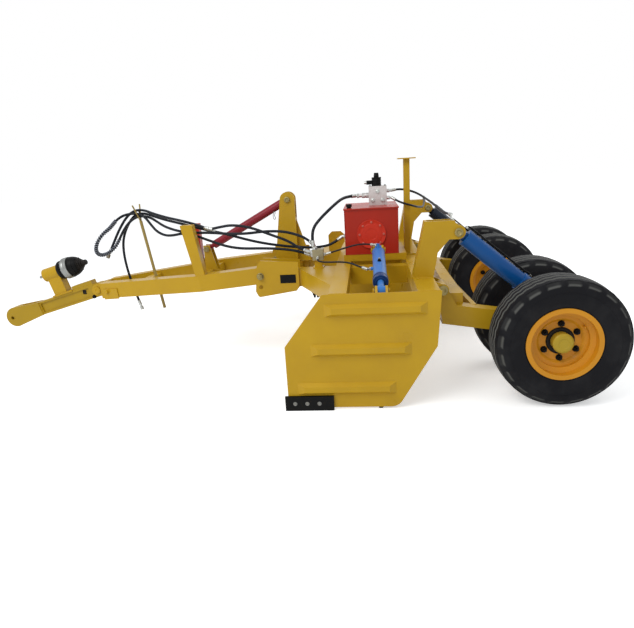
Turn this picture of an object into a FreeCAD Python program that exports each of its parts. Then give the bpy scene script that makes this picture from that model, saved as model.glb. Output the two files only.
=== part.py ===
import FreeCAD, Part
import os
from math import atan2, cos, degrees, hypot, pi, radians, sin, tan

# Laser land leveler, towed: a drag bucket between two end plates, carried on
# four wheels in two side-by-side pairs, with an A-frame drawbar in front.
#
# Frame: millimetres, +Z up, +X towards the wheels, the hitch towards -X.
# The sizes below count X from the drawbar's clamps; what is saved is moved so
# that the origin lies on the ground under the middle of the whole machine.
# The machine's left side is -Y. It stands parked on its bucket and wheels.

# ---------------------------------------------------------------- whole size
BUCKET_WIDTH = 2500.0     # between the inner faces of the end plates

# -------------------------------------------------------------------- wheels
TYRE_OD = 760.0           # 10.0/75-15.3 implement tyre
TYRE_WIDTH = 264.0
AXLE_X = 1920.0
RIM_SEAT_R = 194.0        # 15.3 inch bead seat
RIM_LIP_R = 212.0
RIM_WIDTH = 230.0         # flange to flange, 9 inch
RIM_WALL = 9.0
DISC_BORE_R = 80.5        # 161 mm centre hole
STUD_PCD = 205.0
STUD_COUNT = 6
STUD_HOLE_R = 10.0
HUB_R = 79.0
HUB_CAP_R = 57.0
SPINDLE_R = 32.0
WHEEL_Y = (560.0, 1155.0)  # inner and outer wheel of a pair, from the middle
BODY_GAP = 0.3            # running gap between pieces of different bodies

# -------------------------------------------------------------------- bucket
END_PLATE = 10.0
END_TOP_Z = 716.0
END_BOTTOM_Z = 14.0
END_FRONT_X = 328.0
END_NOSE_Z = 403.0        # where the slanted front edge meets the upright one
END_TOP_FRONT_X = 566.0
END_TOP_REAR_X = 1243.0
END_HEEL_X = 992.0        # back end of the flat bottom edge
END_HEEL_R = 75.0
END_KNEE_X = 1220.0
END_KNEE_Z = 390.0
RIB_LENGTH = 590.0
RIB_HEIGHT = 74.0
RIB_DEPTH = 26.0
RIB_FACE = 34.0           # height of the flat crest of a rib
RIB_END = 42.0            # length of the sloping rib end
RIB_STEP_X = 91.0         # each lower rib starts this much further forward
RIB_STEP_Z = 241.0
RIB_TOP_X = 868.0         # middle of the top rib
RIB_TOP_Z = 620.0
KNIFE_FRONT = 18.0        # the wear knife stands this far ahead of the plate
KNIFE_LENGTH = 296.0
KNIFE_HEIGHT = 92.0
KNIFE_THICK = 16.0
BOARD_WALL = 10.0
BOARD_TOP_X = 1150.0
LIP_LEAN = 50.0           # degrees above the ground
LIP_LENGTH = 130.0
LIP_FOOT_X = 920.0
LIP_FOOT_Z = 30.0
BLADE_HEIGHT = 135.0
BLADE_THICK = 16.0

# --------------------------------------------------------------------- frame
FRONT_CROSS_X = 654.0     # middle of the front cross beam
FRONT_CROSS_W = 104.0
REAR_CROSS_X = 1173.0     # middle of the rear cross beam
REAR_CROSS_W = 126.0
CROSS_H = 100.0
TIE_X0 = 102.0            # short cross tie under the stay tower
TIE_X1 = 283.0
CLAMP_T = 16.0
TOWER_PIN_X = 226.0
TOWER_PIN_Z = 1182.0
TOWER_R = 57.0
TOWER_GAP = 70.0
TOWER_T = 12.0
RAIL_Y = 350.0
RAIL_W = 100.0
RAIL_H = 124.0
RAIL_TOP_Z = 700.0
RAIL_FRONT_X = 150.0
BRACE_X = 345.0            # front corner of the braces beside the rails
BRACE_Y = 960.0
BRACE_T = 10.0
WALL = 8.0
LUG_PLATE = [(505.0, RAIL_TOP_Z), (597.0, RAIL_TOP_Z), (600.0, 722.0), (640.0, 790.0),
             (640.0, 850.0), (610.0, 879.0), (535.0, 879.0), (505.0, 850.0)]
LUG_PLATE_T = 12.0        # lug plate on the right rail
LUG_PLATE_R = 15.0

# ----------------------------------------------------------- lifting linkage
HINGE_X = 1290.0
HINGE_Z = 640.0
HINGE_PIN_R = 20.0
ARM_Y = 858.0
ARM_W = 100.0
ARM_H = 130.0
LIFT_TOP_X = 1386.0
LIFT_TOP_Z = 990.0
LIFT_FOOT_X = 1890.0
LIFT_FOOT_Z = 560.0
BARREL_R = 53.0
ROD_R = 25.0
LIFT_PIN_R = 16.0
EYE_PLAY = 9.0            # the rod's eye is bored this much over its pin
HINGE_BOSS = 130.0
LUG_R = 38.0
EAR = 16.0
EAR_GAP = 1.0
CHEEK = 14.0
LIFT_EYE_W = 70.0
LIFT_NOSE_R = 42.0
GOOSE_TOP_Z = LIFT_TOP_Z + 72
GOOSE_FRONT_X = LIFT_TOP_X - 203   # front edge of the cheeks at their top
GOOSE_WEB = 15.0
HOSE_BLOCK_X = LIFT_TOP_X - 34
ROD_EYE_W = 60.0
ROD_EYE_R = 38.0
BARREL_END = 560.0
ROD_INSIDE = 200.0
ARM_ROOT_Z = 478.0
CROSS_TUBE_X = 1385.0
CROSS_TUBE_Z = 560.0
CROSS_TUBE_W = 80.0
WHEEL_BRACE_Y = 250.0     # a brace's inner end on the cross tube
WHEEL_BRACE_X = 1500.0    # and its outer end on the arm
WHEEL_BRACE_Z = 470.0
WHEEL_BRACE_W = 30.0
WHEEL_BRACE_H = 90.0
FOOT_EAR_R = 36.0         # ears on the arm that hold the rod's pin
SPINDLE_REACH = 70.0
DISC_T = 32.0             # outer face of the wheel disc from the middle plane
CAP_T = 97.0

# ------------------------------------------------------------------- drawbar
CLAMP_X = 44.0            # the two bolts that hold the drawbar
CLAMP_Z = 664.0
DRAW_PITCH = 5.26         # degrees that the drawbar falls towards its nose
DRAW_NOSE = 1364.0        # from the clamp bolts to the nose, along the drawbar
DRAW_BEND = 470.0         # from the clamp bolts to the bend
DRAW_TAIL = 96.0          # behind the clamp bolts
DRAW_FRONT_Y = 95.0
DRAW_W = 100.0
DRAW_H = 122.0
HITCH_AHEAD = 92.0        # hitch pin ahead of the drawbar's nose
TONGUE_LENGTH = 805.0     # from the hitch pivot to the middle of the rounded tip
TONGUE_DROP = 15.2        # degrees below level
TONGUE_W = 90.0
TONGUE_H = 112.0
TONGUE_WEB = 12.0         # depth of the channel in each side of the tongue
TONGUE_FLANGE = 16.0
TIP_R = 83.0
TIP_CHEEK_T = 12.0
TIP_CHEEK = 246.0         # length of the tip's cheeks, behind the middle of the tip
HITCH_BORE_R = 14.5
HITCH_BORE_AHEAD = 30.0   # hitch bore ahead of the middle of the tip
RIDGE_T0 = 40.0           # thick plate on top of the tongue
RIDGE_T1 = 226.0
RIDGE_H = 36.0
HITCH_PIN_R = 20.0
NOSE_T = 24.0
FORK_R = 50.0
FORK_T = 20.0
DRAW_TIE = 1014.0         # from the clamp bolts to the front tie
PAD_LENGTH = 138.0        # wear pads on the outer faces of the nose
PAD_T = 8.0
PAD_HANG = 9.0
PAD_H = 84.0
REAR_TIE = 494.0          # from the clamp bolts to the tie under the stay
TIE_W = 80.0
POST_X = -410.0
POST_LEAN = 70.0
POST_TOP_Z = 1056.0
POST_FOOT = 72.0
POST_HEAD = 88.0
POST_T = 70.0
STAY_X = -450.0
STAY_Z = 826.0
STAY_R = 32.0
STAY_PIN_R = 15.0
STAY_EYE_R = 30.0
STAY_EYE_W = 44.0
STAY_ROD_R = 16.0         # threaded ends, bare for this length beyond the pins
STAY_SCREW = 60.0
JACK_X = -532.0
JACK_LEG = 64.0
JACK_WALL = 6.0
JACK_FOOT_Z = 538.0
JACK_TOP_Z = 1030.0
CLAMP_BOLT_R = 15.0
CLAMP_HOLE_Z = 584.0      # spare lower hole row
NAMEPLATE_X = 247.5
NAMEPLATE_Z = 638.0
NAMEPLATE_L = 115.0
NAMEPLATE_H = 62.0
NAMEPLATE_T = 2.0

# -------------------------------------------------------- pump on the tongue
PUMP_N = 246.0            # height of the pump's axis over the hitch pivot's line
PUMP_T = 95.0             # rear end of the thick part of the body
PUMP_BODY_R = 78.0
PUMP_RING_R = 88.0
PUMP_FLANGE_R = 68.0
PUMP_RING_T = 200.0
PUMP_FLANGE_T = 235.0
COLLAR_T0 = 275.0
COLLAR_T1 = 420.0
COLLAR_R = 55.0
SHAFT_R = 12.0
SHAFT_STUB = 28.0

# ------------------------------------------------------------ tank and mast
TANK_X0 = 672.0
TANK_X1 = 1058.0
TANK_Y = 260.0
TANK_Z0 = 770.0
TANK_Z1 = 1096.0
LID_T = 10.0
LID_RIM = 8.0
COVER_R = 104.0           # round cover on the tank's near face
COVER_Z = 916.0
TRAY_X0 = 655.0
TRAY_T = 12.0
TRAY_SKIRT = 50.0
VALVE_X0 = 853.0
VALVE_X1 = 989.0
VALVE_TOP_Z = 1247.0
VALVE_Y = 45.0
PORT_R = 14.0             # port adaptors on the valve block
PORT_L = 14.0
PORT_LEFT_L = 76.0
PORT_NUT = 44.0
PORT_LEFT = (VALVE_X0, 0.0, 1180.0)
PORT_HIGH = (VALVE_X1, 22.0, 1206.0)
PORT_LOW = (VALVE_X1, -24.0, 1156.0)
SOLENOID_X = 914.0
SOLENOID_R = 34.0
SOLENOID_TOP_Z = 1342.0
MAST_X = 1140.0
MAST_W = 46.0
MAST_TOP_Z = 1440.0
MAST_PLATE = 130.0
MAST_PLATE_T = 8.0

# ------------------------------------------------------------ cross cylinder
CROSS_CYL_X = 907.0
CROSS_FAR = (-430.0, 825.0)     # Y and Z of the eye on the frame
CROSS_NEAR = (-1180.0, 705.0)   # Y and Z of the eye on the end plate
CROSS_BARREL_R = 42.0
CROSS_ROD_R = 20.0
CROSS_EYE_R = 34.0
CROSS_EYE_W = 44.0
CROSS_PIN_R = 14.0
CROSS_BARREL_0 = 60.0
CROSS_BARREL_1 = 560.0
CROSS_GLAND_1 = 620.0
CROSS_EAR_T = 14.0
CROSS_ROD_0 = 420.0       # inner end of the rod, from the far eye
TOP_BOSS_T = 80.0
TOP_BOSS_Z = 882.0
SIDE_BOSS_T = 374.7
SIDE_BOSS_X = 850.0
BOSS_R = 11.0

# --------------------------------------------------------------- hoses
MANIFOLD_X = 431.0        # front face of the hose manifold on the left rail
MANIFOLD_L = 79.0
MANIFOLD_W = 70.0
MANIFOLD_Y = -330.0
MANIFOLD_Z0 = 756.0
MANIFOLD_Z1 = 835.0
HOLDER_FOOT = (-880.0, 345.0)
HOLDER_FORK = (-980.0, 1072.0)
HOLDER_TIP = (-1001.0, 70.0, 1200.0)
HOLDER_R = 12.0
SLEEVE_T = 227.0          # its sleeve on the drawbar, from the rod's foot
SLEEVE_L = 90.0
PRONG_R = 6.0
HOSE_D = 20.0
VALVE_HOSE_D = 22.0
THIN_HOSE_D = 12.0
LIFT_HOSE_D = 16.0
CRIMP = 3.0               # a hose end's ferrule over the hose's radius
FERRULE = 24.0
THIN_FERRULE = 18.0
NUT = 12.0
THIN_NUT = 8.0

# --------------------------------------------------------------- worked out
TYRE_R = TYRE_OD / 2
AXLE_Z = TYRE_R
PITCH = radians(DRAW_PITCH)
HITCH_X = CLAMP_X - (DRAW_NOSE + HITCH_AHEAD) * cos(PITCH)
HITCH_Z = CLAMP_Z - (DRAW_NOSE + HITCH_AHEAD) * sin(PITCH)
TIP_X = HITCH_X - TONGUE_LENGTH * cos(radians(TONGUE_DROP))
MIDDLE_X = (TIP_X - TIP_R + AXLE_X + TYRE_R) / 2
INNER_Y = BUCKET_WIDTH / 2
OUTER_Y = INNER_Y + END_PLATE
SIDES = (("left", -1), ("right", 1))
RAIL_BOTTOM_Z = RAIL_TOP_Z - RAIL_H
FRONT_CROSS_0 = FRONT_CROSS_X - FRONT_CROSS_W / 2
FRONT_CROSS_1 = FRONT_CROSS_X + FRONT_CROSS_W / 2
REAR_CROSS_0 = REAR_CROSS_X - REAR_CROSS_W / 2
REAR_CROSS_1 = REAR_CROSS_X + REAR_CROSS_W / 2

MAST_0 = MAST_X - MAST_W / 2
MAST_1 = MAST_X + MAST_W / 2
TRAY_X1 = MAST_0 - 2      # the tray stops just ahead of the mast
NEAR_CLAMP_Y = -(RAIL_Y + RAIL_W / 2 + CLAMP_T)

os.makedirs("parts", exist_ok=True)


def vec(x, y, z):
    return FreeCAD.Vector(x, y, z)


def box(x0, x1, y0, y1, z0, z1):
    """Block between two corners, given in any order."""
    low = vec(min(x0, x1), min(y0, y1), min(z0, z1))
    return Part.makeBox(abs(x1 - x0), abs(y1 - y0), abs(z1 - z0), low)


def cyl(p, q, r):
    """Round bar from p to q."""
    axis = q - p
    return Part.makeCylinder(r, axis.Length, p, axis)


def fuse(*shapes):
    """Weld shapes, or lists of shapes, into one."""
    flat = []
    for shape in shapes:
        flat.extend(shape if isinstance(shape, (list, tuple)) else [shape])
    if len(flat) == 1:
        return flat[0]
    return flat[0].fuse(flat[1:]).removeSplitter()


def profile_y(points, y0, y1):
    """Plate with the outline given as (x, z) corners, from y0 to y1."""
    ring_points = [vec(x, y0, z) for x, z in points]
    ring_points.append(ring_points[0])
    face = Part.Face(Part.makePolygon(ring_points))
    return face.extrude(vec(0, y1 - y0, 0))


def profile_z(points, z0, z1):
    """Plate with the outline given as (x, y) corners, from z0 to z1."""
    ring_points = [vec(x, y, z0) for x, y in points]
    ring_points.append(ring_points[0])
    face = Part.Face(Part.makePolygon(ring_points))
    return face.extrude(vec(0, 0, z1 - z0))


def round_y_edges(shape, corners, radius):
    """Round the edges along Y that pass through the (x, z) corners."""
    picked = []
    for edge in shape.Edges:
        a, b = edge.Vertexes[0].Point, edge.Vertexes[-1].Point
        along = abs(a.x - b.x) < 0.01 and abs(a.z - b.z) < 0.01
        near = any(hypot(a.x - x, a.z - z) < 0.01 for x, z in corners)
        if along and near:
            picked.append(edge)
    return shape.makeFillet(radius, picked)


def bar(p, q, width, height, wall=0.0):
    """Box-section bar from p to q: width is level, height stands over it."""
    run = q - p
    length = run.Length
    shape = box(0, length, -width / 2, width / 2, -height / 2, height / 2)
    if wall:
        shape = shape.cut(box(-1, length + 1, -width / 2 + wall, width / 2 - wall,
                              -height / 2 + wall, height / 2 - wall))
    turn = degrees(atan2(run.y, run.x))
    rise = degrees(atan2(run.z, hypot(run.x, run.y)))
    shape.rotate(vec(0, 0, 0), vec(0, 1, 0), -rise)
    shape.rotate(vec(0, 0, 0), vec(0, 0, 1), turn)
    shape.translate(p)
    return shape


def revolve_y(profile, centre):
    """Turned piece about a Y axis: (y, r) corners of half its section."""
    points = [vec(0, y, r) for y, r in profile]
    points.append(points[0])
    face = Part.Face(Part.makePolygon(points))
    solid = face.revolve(vec(0, 0, 0), vec(0, 1, 0), 360)
    solid = Part.Solid(solid.Shells[0]) if solid.ShapeType != "Solid" else solid
    solid.translate(centre)
    return solid


def ear_plate(x0, x1, outline, y, z):
    """Ear across the machine: (y, z) corners and a round end at its pin."""
    corners = [vec(x0, a, b) for a, b in outline]
    corners.append(corners[0])
    plate = Part.Face(Part.makePolygon(corners)).extrude(vec(x1 - x0, 0, 0))
    plate = plate.fuse(cyl(vec(x0, y, z), vec(x1, y, z), CROSS_EYE_R))
    return plate.removeSplitter().cut(cyl(vec(x0 - 99, y, z), vec(x1 + 99, y, z), CROSS_PIN_R))


def save(name, shape):
    """One sub-part, one file."""
    solids = shape.Solids
    assert solids and all(solid.isValid() for solid in solids), name
    out = solids[0].copy() if len(solids) == 1 else Part.makeCompound(solids)
    out.translate(vec(-MIDDLE_X, 0, 0))
    out.exportStep("parts/%s.step" % name)
    print("%-22s %2d solids %9.0f cm3" % (name, len(solids), out.Volume / 1000))


# =================================================================== bucket
def rib(x, z, y_face, outward):
    """Pressed stiffening rib: a shallow ridge with sloping sides and ends."""
    def section(half_len, half_height, y):
        corners = [vec(x - half_len, y, z - half_height),
                   vec(x + half_len, y, z - half_height),
                   vec(x + half_len, y, z + half_height),
                   vec(x - half_len, y, z + half_height)]
        return Part.makePolygon(corners + corners[:1])
    foot = section(RIB_LENGTH / 2, RIB_HEIGHT / 2, y_face)
    crest = section(RIB_LENGTH / 2 - RIB_END, RIB_FACE / 2,
                    y_face + outward * RIB_DEPTH)
    return Part.makeLoft([foot, crest], True, True)


def end_plate(s):
    outline = [(END_FRONT_X, END_BOTTOM_Z), (END_HEEL_X, END_BOTTOM_Z),
               (END_KNEE_X, END_KNEE_Z), (END_TOP_REAR_X, END_TOP_Z),
               (END_TOP_FRONT_X, END_TOP_Z), (END_FRONT_X, END_NOSE_Z)]
    plate = profile_y(outline, s * INNER_Y, s * OUTER_Y)
    plate = round_y_edges(plate, [(END_HEEL_X, END_BOTTOM_Z)], END_HEEL_R)
    ribs = []
    for k in range(3):
        ribs.append(rib(RIB_TOP_X - k * RIB_STEP_X, RIB_TOP_Z - k * RIB_STEP_Z,
                        s * OUTER_Y, s))
    if s < 0:
        y, z = CROSS_NEAR
        for t in (-1, 1):
            x0 = CROSS_CYL_X + t * (CROSS_EYE_W / 2 + EAR_GAP)
            x1 = x0 + t * CROSS_EAR_T
            ribs.append(ear_plate(x0, x1, [(-INNER_Y, z - 75), (-INNER_Y, z + 9),
                                           (y, z + CROSS_EYE_R), (y, z - CROSS_EYE_R)], y, z))
    return fuse(plate, ribs)


def side_knife(s):
    x0 = END_FRONT_X - KNIFE_FRONT
    return box(x0, x0 + KNIFE_LENGTH, s * OUTER_Y, s * (OUTER_Y + KNIFE_THICK),
               0, KNIFE_HEIGHT)


def board_section():
    """Front face of the mould board: a straight lip and a tangent arc up to
    the rear cross beam.  Returns lip foot, lip top, arc middle, arc top."""
    lean = radians(LIP_LEAN)
    along = (cos(lean), sin(lean))
    ahead = (-sin(lean), cos(lean))
    foot = (LIP_FOOT_X, LIP_FOOT_Z)
    knee = (foot[0] + LIP_LENGTH * along[0], foot[1] + LIP_LENGTH * along[1])
    top = (BOARD_TOP_X, END_TOP_Z - CROSS_H)
    dx, dz = top[0] - knee[0], top[1] - knee[1]
    radius = (dx * dx + dz * dz) / (2 * (dx * ahead[0] + dz * ahead[1]))
    centre = (knee[0] + radius * ahead[0], knee[1] + radius * ahead[1])
    return foot, knee, top, centre, radius


def arc_point(centre, radius, angle):
    return (centre[0] + radius * cos(angle), centre[1] + radius * sin(angle))


def mouldboard():
    foot, knee, top, centre, radius = board_section()
    a0 = atan2(knee[1] - centre[1], knee[0] - centre[0])
    a1 = atan2(top[1] - centre[1], top[0] - centre[0])
    lean = radians(LIP_LEAN)
    bx, bz = sin(lean) * BOARD_WALL, -cos(lean) * BOARD_WALL
    y = -INNER_Y

    def p(point):
        return vec(point[0], y, point[1])
    outer = radius + BOARD_WALL
    edges = [
        Part.LineSegment(p(foot), p(knee)).toShape(),
        Part.Arc(p(knee), p(arc_point(centre, radius, (a0 + a1) / 2)), p(top)).toShape(),
        Part.LineSegment(p(top), p(arc_point(centre, outer, a1))).toShape(),
        Part.Arc(p(arc_point(centre, outer, a1)),
                 p(arc_point(centre, outer, (a0 + a1) / 2)),
                 p(arc_point(centre, outer, a0))).toShape(),
        Part.LineSegment(p(arc_point(centre, outer, a0)),
                         p((foot[0] + bx, foot[1] + bz))).toShape(),
        Part.LineSegment(p((foot[0] + bx, foot[1] + bz)), p(foot)).toShape(),
    ]
    board = Part.Face(Part.Wire(edges)).extrude(vec(0, BUCKET_WIDTH, 0))
    beam = box(top[0] - 100, top[0] + 100, -INNER_Y, INNER_Y, top[1], top[1] + 50)
    return board.cut(beam)


def cutting_edge():
    """Flat wear bar on the front of the lip, its foot ground level."""
    lean = radians(LIP_LEAN)
    dx, dz = cos(lean), sin(lean)
    back_foot = (LIP_FOOT_X - LIP_FOOT_Z * dx / dz, 0.0)
    back_top = (back_foot[0] + BLADE_HEIGHT * dx, BLADE_HEIGHT * dz)
    front_top = (back_top[0] - dz * BLADE_THICK, back_top[1] + dx * BLADE_THICK)
    front_foot = (back_foot[0] - BLADE_THICK / dz, 0.0)
    return profile_y([back_foot, back_top, front_top, front_foot],
                     -INNER_Y, INNER_Y)


save("mouldboard", mouldboard())
save("cutting_edge", cutting_edge())
for side, s in SIDES:
    save("end_plate_" + side, end_plate(s))
save("side_knives", Part.makeCompound([side_knife(-1), side_knife(1)]))


# ==================================================================== frame
def cross_beam(x, width):
    z0 = END_TOP_Z - CROSS_H
    beam = box(x - width / 2, x + width / 2, -INNER_Y, INNER_Y, z0, END_TOP_Z)
    return beam.cut(box(x - width / 2 + WALL, x + width / 2 - WALL, -INNER_Y, INNER_Y,
                        z0 + WALL, END_TOP_Z - WALL))


def hinge_ears():
    """Two lugs a side, welded to the back of the rear cross beam."""
    lugs = []
    back = REAR_CROSS_X + REAR_CROSS_W / 2
    for s in (-1, 1):
        for t in (-1, 1):
            y = s * ARM_Y + t * (HINGE_BOSS / 2 + EAR_GAP + EAR / 2)
            lug = profile_y([(back, HINGE_Z - 55), (HINGE_X, HINGE_Z - LUG_R),
                             (HINGE_X, HINGE_Z + LUG_R), (back, HINGE_Z + 60)],
                            y - EAR / 2, y + EAR / 2)
            lug = lug.fuse(cyl(vec(HINGE_X, y - EAR / 2, HINGE_Z),
                               vec(HINGE_X, y + EAR / 2, HINGE_Z), LUG_R))
            lugs.append(lug)
    return lugs


def hinge_pins():
    pins = []
    reach = HINGE_BOSS / 2 + EAR_GAP + EAR + 10
    for s in (-1, 1):
        pins.append(cyl(vec(HINGE_X, s * ARM_Y - reach, HINGE_Z),
                        vec(HINGE_X, s * ARM_Y + reach, HINGE_Z), HINGE_PIN_R))
    return pins


def brace(s):
    """Gusset in the corner of a rail and the front cross beam: a level top
    plate and an upright plate along its slanted edge."""
    rail_y = RAIL_Y + RAIL_W / 2
    dx, dy = FRONT_CROSS_0 - BRACE_X, BRACE_Y - rail_y
    length = hypot(dx, dy)
    front = [(BRACE_X, s * rail_y), (FRONT_CROSS_0, s * BRACE_Y)]
    top = profile_z(front + [(FRONT_CROSS_0, s * rail_y)], RAIL_TOP_Z - BRACE_T, RAIL_TOP_Z)
    upright = profile_z(front + [(FRONT_CROSS_0, s * (BRACE_Y - BRACE_T * length / dx)),
                                 (BRACE_X + BRACE_T * length / dy, s * rail_y)],
                        RAIL_BOTTOM_Z, RAIL_TOP_Z)
    return [top, upright]


save("front_cross_beam", fuse(cross_beam(FRONT_CROSS_X, FRONT_CROSS_W), brace(-1), brace(1)))
save("rear_cross_beam", fuse(cross_beam(REAR_CROSS_X, REAR_CROSS_W),
                             hinge_ears(), hinge_pins()))

# Two long rails join the drawbar clamps to the cross beams.
def rail(s):
    """The rail's front piece, and its middle piece between the cross beams;
    the left one carries the cross cylinder's ears, the right one a lug plate."""
    y0, y1 = s * (RAIL_Y - RAIL_W / 2), s * (RAIL_Y + RAIL_W / 2)
    front = box(RAIL_FRONT_X, FRONT_CROSS_0, y0, y1, RAIL_BOTTOM_Z, RAIL_TOP_Z)
    middle = box(FRONT_CROSS_1, REAR_CROSS_0, y0, y1, RAIL_BOTTOM_Z, RAIL_TOP_Z)
    if s > 0:
        lug = profile_y(LUG_PLATE, y0, y0 + LUG_PLATE_T)
        lug = round_y_edges(lug, LUG_PLATE[4:], LUG_PLATE_R)
        return fuse(front, lug), middle
    y, z = CROSS_FAR
    ears = []
    for t in (-1, 1):
        x0 = CROSS_CYL_X + t * (CROSS_EYE_W / 2 + EAR_GAP)
        x1 = x0 + t * CROSS_EAR_T
        ears.append(ear_plate(x0, x1, [(y1 + 2, RAIL_TOP_Z), (y0 - 22, RAIL_TOP_Z),
                                       (y + CROSS_EYE_R, z), (y - CROSS_EYE_R, z)], y, z))
    return front, fuse(middle, ears)


for side, s in SIDES:
    save("rail_" + side, Part.makeCompound(list(rail(s))))

tie_y = RAIL_Y - RAIL_W / 2 - CLAMP_T
save("front_tie", box(TIE_X0, TIE_X1, -tie_y, tie_y, RAIL_BOTTOM_Z, RAIL_TOP_Z))


def clamp_plate(y0, y1):
    """Outline of a drawbar clamp plate, rounded at its lower front corner."""
    outline = [(CLAMP_X - 43, CLAMP_Z - 112), (CLAMP_X - 22, CLAMP_Z - 158),
               (CLAMP_X + 262, CLAMP_Z - 117), (CLAMP_X + 284, CLAMP_Z - 89),
               (CLAMP_X + 284, CLAMP_Z + 95), (CLAMP_X + 8, CLAMP_Z + 115),
               (CLAMP_X - 22, CLAMP_Z + 75)]
    plate = profile_y(outline, y0, y1)
    return round_y_edges(plate, [outline[0], outline[1]], 22)


def clamp_bolts(s, radius):
    """The two bolts a side that hold the drawbar between its plates."""
    out_y = RAIL_Y + RAIL_W / 2 + CLAMP_T + 14
    in_y = RAIL_Y - RAIL_W / 2 - CLAMP_T - 14
    return [cyl(vec(CLAMP_X, s * in_y, z), vec(CLAMP_X, s * out_y, z), radius)
            for z in (CLAMP_Z, CLAMP_HOLE_Z)]


for side, s in SIDES:
    holes = clamp_bolts(s, CLAMP_BOLT_R)
    outer = RAIL_Y + RAIL_W / 2
    inner = RAIL_Y - RAIL_W / 2
    plates = [clamp_plate(s * outer, s * (outer + CLAMP_T)).cut(holes),
              clamp_plate(s * inner, s * (inner - CLAMP_T)).cut(holes)]
    save("clamp_plates_" + side, Part.makeCompound(plates))


def tower_plate(y0, y1):
    x, z = TOWER_PIN_X, TOWER_PIN_Z
    plate = profile_y([(TIE_X0, RAIL_TOP_Z), (TIE_X1, RAIL_TOP_Z), (x + TOWER_R, z),
                       (x - TOWER_R, z)], y0, y1)
    return plate.fuse(cyl(vec(x, y0, z), vec(x, y1, z), TOWER_R))


def tower():
    plates = []
    for s in (-1, 1):
        plates.append(tower_plate(s * TOWER_GAP / 2, s * (TOWER_GAP / 2 + TOWER_T)))
    gusset = profile_y([(TIE_X1, RAIL_TOP_Z), (TIE_X1 + 100, RAIL_TOP_Z), (TIE_X1, 1030)],
                       -TOWER_T / 2, TOWER_T / 2)
    web = box(TIE_X1 - TOWER_T, TIE_X1, -TOWER_GAP / 2, TOWER_GAP / 2, RAIL_TOP_Z, 1040)
    return fuse(plates, web, gusset)


reach = TOWER_GAP / 2 + TOWER_T + 12
tower_pin = cyl(vec(TOWER_PIN_X, -reach, TOWER_PIN_Z),
                vec(TOWER_PIN_X, reach, TOWER_PIN_Z), STAY_PIN_R)
save("stay_tower", tower().cut(tower_pin))


# ================================================================== drawbar
def half_width(along, half):
    """Distance of a drawbar beam's middle from the centre line, plus half."""
    if along <= DRAW_BEND:
        return RAIL_Y + half
    t = (along - DRAW_BEND) / (DRAW_NOSE - DRAW_BEND)
    return RAIL_Y + t * (DRAW_FRONT_Y - RAIL_Y) + half


def drawbar():
    """Hollows, two bent box beams, and the ties and nose plate across them;
    laid out level from the clamp bolts, then pitched down."""
    low, high = -DRAW_H / 2, DRAW_H / 2
    h = DRAW_W / 2
    hollows, beams, crossings = [], [], []
    for s in (-1, 1):
        def outline(inset, front):
            o, i = h - inset, -h + inset
            return [(DRAW_TAIL, s * (RAIL_Y + o)), (-DRAW_BEND, s * (RAIL_Y + o)),
                    (-front, s * (DRAW_FRONT_Y + o)), (-front, s * (DRAW_FRONT_Y + i)),
                    (-DRAW_BEND, s * (RAIL_Y + i)), (DRAW_TAIL, s * (RAIL_Y + i))]
        beams.append(profile_z(outline(0, DRAW_NOSE + NOSE_T / 2), low, high))
        hollows.append(profile_z(outline(WALL, DRAW_NOSE), low + WALL, high - WALL))
    for along in (DRAW_TIE, REAR_TIE):
        into = WALL - 2 - h
        y = half_width(along + TIE_W / 2, into)
        crossings.append(profile_z([(-along - TIE_W / 2, -y), (-along - TIE_W / 2, y),
                                    (-along + TIE_W / 2, half_width(along - TIE_W / 2, into)),
                                    (-along + TIE_W / 2, -half_width(along - TIE_W / 2, into))],
                                   -TIE_W / 2, TIE_W / 2))
    crossings.append(box(-DRAW_NOSE - NOSE_T, -DRAW_NOSE, -DRAW_FRONT_Y - h,
                         DRAW_FRONT_Y + h, low, high))
    slope = (RAIL_Y - DRAW_FRONT_Y) / (DRAW_NOSE + NOSE_T / 2 - DRAW_BEND)
    nose_y = DRAW_FRONT_Y + h + slope * NOSE_T / 2
    back_y = nose_y + slope * PAD_LENGTH
    for s in (-1, 1):
        pad = profile_z([(-DRAW_NOSE, s * (nose_y - 2)), (-DRAW_NOSE, s * (nose_y + PAD_T)),
                         (PAD_LENGTH - DRAW_NOSE, s * (back_y + PAD_T)),
                         (PAD_LENGTH - DRAW_NOSE, s * (back_y - 2))],
                        low - PAD_HANG, low - PAD_HANG + PAD_H)
        crossings.append(pad)
    return [[pitched(shape) for shape in group] for group in (hollows, beams, crossings)]


def pitched(shape):
    """Turn a level drawbar piece down to the drawbar's slope."""
    shape.rotate(vec(0, 0, 0), vec(0, 1, 0), -DRAW_PITCH)
    shape.translate(vec(CLAMP_X, 0, CLAMP_Z))
    return shape


def hitch_head():
    """Two fork cheeks welded on the nose plate, round the hitch pin."""
    cheeks = []
    for s in (-1, 1):
        y0 = s * (TONGUE_W / 2 + EAR_GAP)
        y1 = s * (TONGUE_W / 2 + EAR_GAP + FORK_T)
        x = -DRAW_NOSE - HITCH_AHEAD
        cheek = profile_y([(x, -FORK_R), (-DRAW_NOSE - NOSE_T, -DRAW_H / 2),
                           (-DRAW_NOSE - NOSE_T, DRAW_H / 2), (x, FORK_R)], y0, y1)
        cheeks.append(pitched(cheek.fuse(cyl(vec(x, y0, 0), vec(x, y1, 0), FORK_R))))
    reach = TONGUE_W / 2 + EAR_GAP + FORK_T + 12
    pin = cyl(vec(HITCH_X, -reach, HITCH_Z), vec(HITCH_X, reach, HITCH_Z), HITCH_PIN_R)
    return cheeks, pin


def beam_top(x):
    """Height of the drawbar's upper face over the ground at X."""
    return CLAMP_Z + (x - CLAMP_X) * tan(PITCH) + DRAW_H / 2 / cos(PITCH)


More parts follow.
